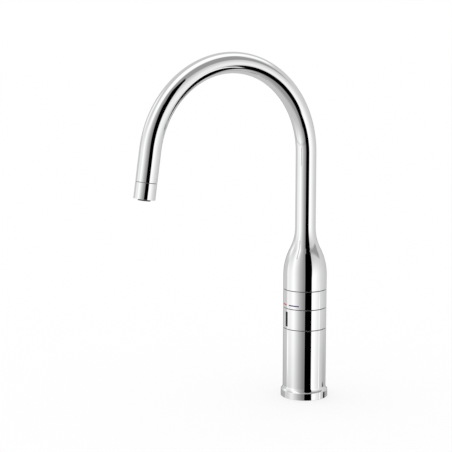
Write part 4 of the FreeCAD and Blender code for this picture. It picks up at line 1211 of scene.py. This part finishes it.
@dataclass(frozen=True)
class Spout:
    """Shoulder, bent tube and aerator collar."""

    edge: float = 0.2 * MM
    joint_edge: float = 0.01 * MM
    straight_height: float = 15.95 * MM
    convex: float = 67.0 * MM
    hollow: float = 56.0 * MM
    curve_steps: int = 28
    tube_radius: float = 11.7 * MM
    tube_wall: float = 1.2 * MM
    upright: float = 85.9 * MM
    arch_radius: float = 105.3 * MM
    sweep: float = math.radians(171.25)
    outlet_run: float = 34.5 * MM
    tube_step: float = 2.2 * MM
    spigot_length: float = 12.0 * MM
    spigot_play: float = 0.05 * MM
    waterway: float = 7.6 * MM
    bush_bore: float = 12.23 * MM
    bush_top: float = 21.2 * MM
    seal_bore: float = 11.03 * MM
    seal_top: float = 48.2 * MM
    screw_height: float = 7.7 * MM
    screw_hole: float = 2.05 * MM
    screw_bevel: float = 0.2 * MM
    screw_points: int = 24
    screw_patch_angle: float = math.radians(16)
    screw_patch_rise: float = 4.2 * MM
    collar_gap: float = 0.45 * MM
    collar_length: float = 17.75 * MM
    collar_spigot: float = 7.0 * MM
    collar_spigot_radius: float = 10.42 * MM
    collar_bore: float = 9.0 * MM
    lip: float = 1.5 * MM
    lip_radius: float = 6.85 * MM
    seal_recess: float = 0.6 * MM

    def build(self, bench: Bench) -> None:
        """Builds the shoulder, the tube and the collar.

        Args:
            bench: where the pieces go.
        """
        body_radius, shoulder_low, _ = span("spout_shoulder")
        turn = math.acos(1 - (body_radius - self.tube_radius) / (self.convex + self.hollow))
        curve_low = shoulder_low + self.straight_height
        shoulder_top = curve_low + (self.convex + self.hollow) * math.sin(turn)
        axis = SpoutAxis(shoulder_top + self.upright, self.arch_radius, self.sweep)
        tube_end = axis.arch_z + self.arch_radius * self.sweep + self.outlet_run
        collar_start = tube_end + self.collar_gap
        hole = self.grub_hole(shoulder_low)
        corners = self.shoulder_corners(body_radius, shoulder_low, shoulder_top, turn)
        bench.replace("spout_shoulder", hole.cut(corners, OUTER_WALL, len(corners) - 1))
        bore = self.tube_radius - self.tube_wall
        tube = [Corner(bore, shoulder_top, self.joint_edge),
                Corner(self.tube_radius, shoulder_top, self.joint_edge),
                Corner(self.tube_radius, tube_end, self.edge), Corner(bore, tube_end, self.joint_edge)]
        bench.replace("spout_tube", turned(tube, axis, self.tube_step))
        bench.replace("aerator_shell", turned(self.collar_corners(collar_start), axis))
        seal = ring_corners(bore, self.tube_radius - self.seal_recess, tube_end, collar_start)
        bench.replace("collar_seal", turned(seal, axis))

    def shoulder_corners(self, radius: float, low: float, top: float, turn: float) -> list[Corner]:
        """Half-section of the shoulder: straight, convex arc, hollow arc, spigot and stepped bore.

        An arc that turns by t with radius r starts r tan(t / 2) before the corner that it rounds.

        Args:
            radius: radius of its straight part.
            low: height of its lower end.
            top: height where the tube starts.
            turn: angle that each arc turns by.

        Returns:
            Its corners.
        """
        half_tangent = math.tan(turn / 2)
        convex_corner = low + self.straight_height + self.convex * half_tangent
        hollow_corner = top - self.hollow * half_tangent
        spigot = self.tube_radius - self.tube_wall - self.spigot_play
        spigot_top = top + self.spigot_length
        seal_top = low + self.seal_top
        bush_top = low + self.bush_top
        return [Corner(self.bush_bore, low), Corner(radius, low, self.edge),
                Corner(radius, convex_corner, self.convex, self.curve_steps),
                Corner(self.tube_radius, hollow_corner, self.hollow - self.joint_edge, self.curve_steps),
                Corner(self.tube_radius, top, self.joint_edge), Corner(spigot, top, self.joint_edge),
                Corner(spigot, spigot_top), Corner(self.waterway, spigot_top),
                Corner(self.waterway, seal_top), Corner(self.seal_bore, seal_top),
                Corner(self.seal_bore, bush_top), Corner(self.bush_bore, bush_top)]

    def grub_hole(self, low: float) -> WallHole:
        """Hole of the grub screw at the back of the shoulder.

        Args:
            low: height of the shoulder's lower end.

        Returns:
            The hole.
        """
        radius = self.screw_hole
        loop = RoundedLoop(radius, radius, radius, self.screw_points, self.screw_points)
        return WallHole(Facing.REAR, low + self.screw_height, loop, self.screw_bevel, self.screw_patch_angle,
                        self.screw_patch_rise)

    def collar_corners(self, start: float) -> list[Corner]:
        """Half-section of the aerator's collar, with its spigot, bore and lip.

        Args:
            start: place on the spout's axis where it shows.

        Returns:
            Its corners.
        """
        end = start + self.collar_length
        top = start - self.collar_gap - self.collar_spigot
        return [Corner(self.collar_bore, top), Corner(self.collar_spigot_radius, top),
                Corner(self.collar_spigot_radius, start), Corner(self.tube_radius, start, self.edge),
                Corner(self.tube_radius, end, self.edge), Corner(self.lip_radius, end),
                Corner(self.lip_radius, end - self.lip), Corner(self.collar_bore, end - self.lip)]


@dataclass(frozen=True)
class Springs:
    """Wound wires under the plunger and over the two check valves."""

    ring: float = 2.2 * MM
    wire: float = 0.3 * MM
    turns: Mapping[str, int] = field(default_factory=lambda: {
        "plunger_spring": 4, "hot_check_spring": 5, "cold_check_spring": 5})
    steps_per_turn: int = 40
    wire_points: int = 16

    def build(self, bench: Bench) -> None:
        """Builds each spring that a joint deforms.

        Args:
            bench: where the pieces go.
        """
        for joint in bench.joints:
            for part in joint.get("deforming_nodes", ()):
                node = part["node"]
                low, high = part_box(node)
                middle = (low + high) / 2
                piece = bench.replace(node, self.coil(middle, low.z, high.z, self.turns[node]))
                length = high.z - low.z
                keep = 1 - max(abs(end) for end in joint["range_m"]) / length
                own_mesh(piece)

    def coil(self, middle: Vector, low: float, high: float, turns: int) -> Surface:
        """Wire wound evenly upwards, anticlockwise from +X as seen from above.

        The wire's line at angle a is ring (cos a, sin a) around the middle, at a height that grows evenly
        with a. Its section is a circle on the radial direction and on the one square to that and to the line.

        Args:
            middle: centre of the spring.
            low: height of its lower end.
            high: height of its upper end.
            turns: number of turns.

        Returns:
            The closed surface.
        """
        angle = np.linspace(0, FULL_TURN * turns, turns * self.steps_per_turn + 1)[:, None]
        rise = high - low - 2 * self.wire
        zero = np.zeros_like(angle)
        radial = np.concatenate([np.cos(angle), np.sin(angle), zero], axis=1)
        climb = rise / (FULL_TURN * turns)
        line = np.concatenate([-self.ring * np.sin(angle), self.ring * np.cos(angle), zero + climb], axis=1)
        line /= math.hypot(self.ring, climb)
        centre = np.array([middle.x, middle.y, low + self.wire]) + self.ring * radial
        centre = centre + rise * UP * angle / angle[-1]
        square = np.cross(radial, line)
        around = -even_turns(self.wire_points)[None, :, None]
        section = np.cos(around) * radial[:, None, :] - np.sin(around) * square[:, None, :]
        return pillow(centre[:, None, :] + self.wire * section)


# Studio


@dataclass(frozen=True)
class Ray:
    """Direction that a mirror looks in: its parts towards the camera, to the right and up, and its angles.

    The azimuth is 0 towards the camera and 90 to the right of the picture. Both angles are in degrees.
    """

    toward: Signal
    across: Signal
    up: Signal
    azimuth: Signal
    elevation: Signal


@dataclass(frozen=True)
class Panel:
    """Soft-edged card or light in the studio: its level, and its reach in degrees round and above the tap.

    Its two sides may lean: they move round by so many degrees for each degree upwards.
    """

    name: str
    level: float
    round_from: float
    round_to: float
    round_soft: Pair
    up_from: float
    up_to: float
    up_soft: Pair
    lean: Pair = (0, 0)

    def over(self, graph: Graph, tone: Signal, ray: Ray) -> Signal:
        """Studio tone with this panel in front of it.

        Args:
            graph: the world's graph.
            tone: tone of what is behind it.
            ray: direction that is looked in.

        Returns:
            The tone with it in front.
        """
        LOG.info("studio: %s", self.name)
        sides = [graph.rise(ray.azimuth - ray.elevation * lean, at - soft, at + soft) for lean, at, soft
                 in zip(self.lean, (self.round_from, self.round_to), self.round_soft)]
        upright = graph.band(ray.elevation, self.up_from, self.up_to, self.up_soft)
        return graph.blend(tone, self.level, (sides[0] - sides[1]) * upright)


@dataclass(frozen=True)
class Walls:
    """Lit panels on the left, a shade that deepens towards the front and a light that fades on the right.

    Limits are degrees round or upwards, or downwards where the name says low, between which a tone changes.
    """

    back_tone: float = 0.60
    left_tone: float = 0.90
    left_high_tone: float = 0.62
    left_high: Pair = (-12, 48)
    left_span: Pair = (-112, 10)
    left_soft: Pair = (5, 4)
    shade_tone: float = 0.28
    shade_start: Pair = (-64, -31)
    shade_rest: Pair = (-31, -9)
    shade_start_share: float = 0.7
    shade_end: Pair = (20, 24)
    right_tone: float = 1.06
    right_side: Pair = (51, 92)
    right_side_drop: float = 0.34
    right_far: Pair = (92, 130)
    right_far_drop: float = 0.13
    right_low_side: Pair = (52, 57)
    right_low: Pair = (12, 15.5)
    right_low_drop: float = 0.08
    upper_right_tone: float = 0.62
    upper_right: Pair = (-10, 30)
    right_span: Pair = (20, 140)
    right_soft: Pair = (2, 10)
    low: Pair = (12.5, 16)
    low_drop: float = 0.17
    low_back: Pair = (15.1, 15.8)
    low_back_drop: float = 0.12
    low_end: Pair = (16, 18.5)
    front_span: Pair = (-88, 105)
    front_soft: Pair = (16, 10)
    lit_span: Pair = (20, 105)
    lit_soft: Pair = (4, 10)
    panels: tuple[Panel, ...] = (
        Panel("left rear light", 0.93, -111, -100, (4, 6), -24, 4, (6, 6)),
        Panel("left rear light's edge", 1.14, -109, -101.5, (2, 2), -14.9, -13.4, (0.3, 0.4)),
        Panel("left rear high light", 1.03, -133, -112, (7, 6), 11, 37, (8, 6)),
        Panel("left light", 1.06, -77, 10, (13, 4), -34, 58, (16, 8)),
    )

    def tone(self, graph: Graph, ray: Ray) -> Signal:
        """Tone of the walls all round.

        Args:
            graph: the world's graph.
            ray: direction that is looked in.

        Returns:
            The tone.
        """
        left = graph.blend(self.left_tone, self.left_high_tone, graph.rise(ray.elevation, *self.left_high))
        tone = graph.blend(self.back_tone, left, graph.band(ray.azimuth, *self.left_span, self.left_soft))
        for panel in self.panels:
            tone = panel.over(graph, tone, ray)
        tone = graph.blend(tone, self.shade_tone, self.shade(graph, ray))
        on_right = graph.band(ray.azimuth, *self.right_span, self.right_soft)
        tone = graph.blend(tone, self.right(graph, ray), on_right)
        return tone * (1 - self.low_loss(graph, ray))

    def shade(self, graph: Graph, ray: Ray) -> Signal:
        """Share of the shade, which grows in two straight steps and ends at the right wall.

        Args:
            graph: the world's graph.
            ray: direction that is looked in.

        Returns:
            The share.
        """
        share = graph.slope(ray.azimuth, *self.shade_start) * self.shade_start_share
        share = share + graph.slope(ray.azimuth, *self.shade_rest) * (1 - self.shade_start_share)
        return share * (1 - graph.rise(ray.azimuth, *self.shade_end))

    def right(self, graph: Graph, ray: Ray) -> Signal:
        """Tone of the right wall, which fades to the back, downwards and upwards.

        Args:
            graph: the world's graph.
            ray: direction that is looked in.

        Returns:
            The tone.
        """
        light = self.right_tone - graph.slope(ray.azimuth, *self.right_side) * self.right_side_drop
        light = light - graph.slope(ray.azimuth, *self.right_far) * self.right_far_drop
        low = graph.rise(ray.azimuth, *self.right_low_side) * graph.rise(-ray.elevation, *self.right_low)
        light = light - low * self.right_low_drop
        return graph.blend(light, self.upper_right_tone, graph.rise(ray.elevation, *self.upper_right))

    def low_loss(self, graph: Graph, ray: Ray) -> Signal:
        """Share of the tone that is lost low on the walls, apart from the lit one.

        Args:
            graph: the world's graph.
            ray: direction that is looked in.

        Returns:
            The share.
        """
        below = -ray.elevation
        behind = 1 - graph.band(ray.azimuth, *self.front_span, self.front_soft)
        loss = graph.rise(below, *self.low) * self.low_drop
        loss = loss + graph.rise(below, *self.low_back) * behind * self.low_back_drop
        loss = loss * (1 - graph.rise(below, *self.low_end))
        return loss * (1 - graph.band(ray.azimuth, *self.lit_span, self.lit_soft))


@dataclass(frozen=True)
class Ceiling:
    """Ceiling, paler on the left, with a dark card on the right and a straight white strip over the tap.

    Places on it are in heights above the tap, and headings are parts towards the camera and to the right. The
    strip's right edge is sharp overhead and grows soft towards its far end.
    """

    left_tone: float = 0.57
    right_tone: float = 0.32
    least_rise: float = 0.05
    heading: Pair = (0.815, 0.579)
    shift: float = 0.15
    fade: Pair = (-0.4, 0.4)
    foot: Pair = (40, 58)
    front_end: Pair = (100, 109)
    card_heading: Pair = (0.926, 0.378)
    card_end: Pair = (1.05, 1.6)
    card_side: Pair = (0, 20)
    card_foot: Pair = (10, 20)
    strip_tone: float = 1.06
    strip_left: Pair = (-0.39, -0.18)
    strip_right: Pair = (0.29, 0.53)
    strip_soft_right: Pair = (0.1, 0.8)
    strip_softening: Pair = (0.75, 1.1)
    strip_span: Pair = (-1.7, 2.4)
    strip_soft: Pair = (0.25, 0.6)
    strip_foot: Pair = (18, 30)

    def over(self, graph: Graph, tone: Signal, ray: Ray) -> Signal:
        """Studio tone with the ceiling, its card and its strip above it.

        Args:
            graph: the world's graph.
            tone: tone of what is behind it.
            ray: direction that is looked in.

        Returns:
            The tone with it in front.
        """
        height = graph.math("MAXIMUM", ray.up, self.least_rise)
        toward, across = self.heading
        beside = (ray.toward * toward + ray.across * across) / height + self.shift
        along = (ray.toward * across - ray.across * toward) / height
        toward, across = self.card_heading
        ahead = (ray.toward * toward + ray.across * across) / height
        front = 1 - graph.rise(ray.azimuth, *self.front_end)
        ceiling = graph.blend(self.left_tone, self.right_tone, graph.rise(beside, *self.fade) * front)
        card = (1 - graph.rise(ahead, *self.card_end)) * front
        card = card * graph.rise(ray.azimuth, *self.card_side) * graph.rise(ray.elevation, *self.card_foot)
        tone = graph.blend(tone, ceiling, graph.math("MAXIMUM", card, graph.rise(ray.elevation, *self.foot)))
        sharp = graph.rise(beside, *self.strip_right)
        soft = graph.rise(beside, *self.strip_soft_right)
        edge = graph.blend(sharp, soft, graph.rise(-along, *self.strip_softening))
        strip = graph.rise(beside, *self.strip_left) - edge
        strip = strip * graph.band(along, *self.strip_span, self.strip_soft)
        return graph.blend(tone, self.strip_tone, strip * graph.rise(ray.elevation, *self.strip_foot))


@dataclass(frozen=True)
class MirroredFloor:
    """Floor that mirrors show, darker on the right, with a straight black strip in front of the tap.

    Places on it are in depths below the tap, and the heading is parts towards the camera and to the right.
    """

    left_tone: float = 0.56
    right_tone: float = 0.31
    least_drop: float = 0.05
    heading: Pair = (0.301, 0.954)
    fade_beside: Pair = (-0.5, 0.1)
    fade_along: Pair = (-0.3, 0.35)
    top: Pair = (12, 46)
    strip_tone: float = 0.0
    strip_lean: float = 0.2
    strip_near: Pair = (0.66, 0.8)
    strip_far: Pair = (2.15, 2.45)
    strip_span: Pair = (-1.7, 1.9)
    strip_soft: Pair = (0.2, 0.15)
    strip_top: Pair = (16.9, 18.2)

    def over(self, graph: Graph, tone: Signal, ray: Ray) -> Signal:
        """Studio tone with the floor and its strip below it.

        Args:
            graph: the world's graph.
            tone: tone of what is behind it.
            ray: direction that is looked in.

        Returns:
            The tone with it in front.
        """
        depth = graph.math("MAXIMUM", -ray.up, self.least_drop)
        toward, across = self.heading
        beside = (ray.toward * toward + ray.across * across) / depth
        along = ray.toward / depth
        front = graph.rise(beside, *self.fade_beside) * graph.rise(along, *self.fade_along)
        floor = graph.blend(self.left_tone, self.right_tone, front)
        tone = graph.blend(tone, floor, graph.rise(-ray.elevation, *self.top))
        leaning = beside + graph.math("MAXIMUM", along, 0.0) * self.strip_lean
        strip = graph.rise(leaning, *self.strip_near) - graph.rise(beside, *self.strip_far)
        strip = strip * graph.band(along, *self.strip_span, self.strip_soft)
        return graph.blend(tone, self.strip_tone, strip * graph.rise(-ray.elevation, *self.strip_top))


@dataclass(frozen=True)
class Studio:
    """White room with soft panels and dark cards for the chrome to mirror, a pale floor and the camera."""

    camera_place: Triple = (1.30633, -1.02144, 0.46832)
    camera_aim: Triple = (-0.8100, 0.5642, -0.1598)
    lens: float = 115.93
    sensor: float = 36.0
    floor_half: float = 6.0
    floor_glow: float = 0.58
    floor_tone: float = 0.42
    floor_spot_share: float = 0.99
    floor_spots_per_metre: float = 40.0
    walls: Walls = Walls()
    ceiling: Ceiling = Ceiling()
    mirrored_floor: MirroredFloor = MirroredFloor()
    cards: tuple[Panel, ...] = (
        Panel("black card", 0.0, -2.2, 35.4, (0.6, 0.8), -31, 38, (2, 2), (-0.02, 0.105)),
        Panel("black card's top", 0.0, 3, 61, (1.5, 1), 34, 50.5, (2, 1.5), (0, -0.6)),
        Panel("thin light", 1.04, 79.5, 84.7, (1.2, 1.2), -43, -11.8, (3, 0.7)),
        Panel("rear flag", 0.0, 106.5, 118, (0.8, 1.5), -16.15, -15.64, (0.1, 0.06)),
        Panel("rear flag's tip", 0.0, 112, 120.5, (0.8, 0.8), -16.1, -15.3, (0.1, 0.08)),
        Panel("back flag", 0.12, 158, 170, (2, 3), -22, 4, (4, 4)),
        Panel("back left flag", 0.12, -172, -161, (3, 2), -22, 4, (4, 4)),
    )

    def build(self) -> None:
        """Builds the camera, the floor and the world."""
        self.add_camera()
        self.add_floor()
        self.add_world()

    def add_camera(self) -> None:
        """Camera at the photograph's angle."""
        data = bpy.data.cameras.new("camera")
        data.lens = self.lens
        data.sensor_width = self.sensor
        camera = bpy.data.objects.new("camera", data)
        camera.location = self.camera_place
        camera.rotation_euler = Vector(self.camera_aim).to_track_quat("-Z", "Y").to_euler()
        bpy.context.scene.collection.objects.link(camera)
        bpy.context.scene.camera = camera

    def add_floor(self) -> None:
        """Pale floor that keeps a faint shadow and that mirrors don't show, since the studio has its own."""
        reach = self.floor_half
        mesh = bpy.data.meshes.new("floor")
        mesh.from_pydata([(-reach, -reach, 0), (reach, -reach, 0), (reach, reach, 0), (-reach, reach, 0)], [],
                         [(0, 1, 2, 3)])
        floor = bpy.data.objects.new("floor", mesh)
        bpy.context.scene.collection.objects.link(floor)
        material = bpy.data.materials.new("floor_finish")
        material.use_nodes = True
        graph = Graph(material.node_tree)
        speckle = graph.noise(graph.object_place(), self.floor_spots_per_metre, detail=2)
        tone = graph.mix(speckle, grey(self.floor_tone), grey(self.floor_tone * self.floor_spot_share))
        diffuse = graph.node("ShaderNodeBsdfDiffuse", {}, {"Color": tone})
        seen = graph.node("ShaderNodeLightPath", {}, {}).outputs["Is Camera Ray"]
        glow = graph.node("ShaderNodeEmission", {}, {
            "Color": grey(1), "Strength": Signal(graph, seen) * self.floor_glow})
        both = graph.node("ShaderNodeAddShader", {}, {0: diffuse.outputs[0], 1: glow.outputs[0]})
        graph.node("ShaderNodeOutputMaterial", {}, {"Surface": both.outputs[0]})
        mesh.materials.append(material)
        floor.visible_glossy = False

    def add_world(self) -> None:
        """White to the camera, plain white light on the pieces and the studio's panels in the mirrors."""
        world = bpy.data.worlds.new("studio")
        bpy.context.scene.world = world
        world.use_nodes = True
        graph = Graph(world.node_tree)
        tone = self.studio_tone(graph)
        path = graph.node("ShaderNodeLightPath", {}, {}).outputs
        mirrored = Signal(graph, path["Is Glossy Ray"]) + Signal(graph, path["Is Transmission Ray"])
        strength = graph.blend(1.0, tone, mirrored)
        background = graph.node("ShaderNodeBackground", {}, {"Color": grey(1), "Strength": strength})
        graph.node("ShaderNodeOutputWorld", {}, {"Surface": background.outputs[0]})
        bpy.context.scene.view_settings.view_transform = "Standard"

    def studio_tone(self, graph: Graph) -> Signal:
        """Tone of the studio in every direction.

        The walls are soft panels in azimuth and elevation. The overhead strip and the dark strip on the floor
        are straight bands on level planes above and below the tap.

        Args:
            graph: the world's graph.

        Returns:
            The tone.
        """
        ray = self.ray(graph)
        tone = self.walls.tone(graph, ray)
        for part in (self.ceiling, self.mirrored_floor, *self.cards):
            tone = part.over(graph, tone, ray)
        return tone

    def ray(self, graph: Graph) -> Ray:
        """Direction of the world's light, measured from the camera's own.

        Args:
            graph: the world's graph.

        Returns:
            The direction's parts and angles.
        """
        flat = math.hypot(self.camera_aim[0], self.camera_aim[1])
        ahead = (-self.camera_aim[0] / flat, -self.camera_aim[1] / flat, 0)
        right = (-ahead[1], ahead[0], 0)
        light = graph.node("ShaderNodeTexCoord", {}, {}).outputs["Generated"]
        parts = []
        for side in (ahead, right, (0, 0, 1)):
            part = graph.node("ShaderNodeVectorMath", {"operation": "DOT_PRODUCT"}, {0: light, 1: side})
            parts.append(Signal(graph, part.outputs["Value"]))
        toward, across, up = parts
        azimuth = graph.math("ARCTAN2", across, toward) * math.degrees(1)
        elevation = graph.math("ARCSINE", up) * math.degrees(1)
        return Ray(toward, across, up, azimuth, elevation)


def main() -> None:
    """Loads the frame, builds each sub-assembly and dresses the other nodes."""
    logging.basicConfig(level=logging.INFO, format="%(name)s: %(message)s")
    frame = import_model()
    bench = Bench(frame)
    for assembly in (Body(), Sensor(), TemperatureRing(), Spout(), Springs()):
        assembly.build(bench)
    bench.dress_rest()
    Studio().build()


if __name__ == "__main__":
    main()
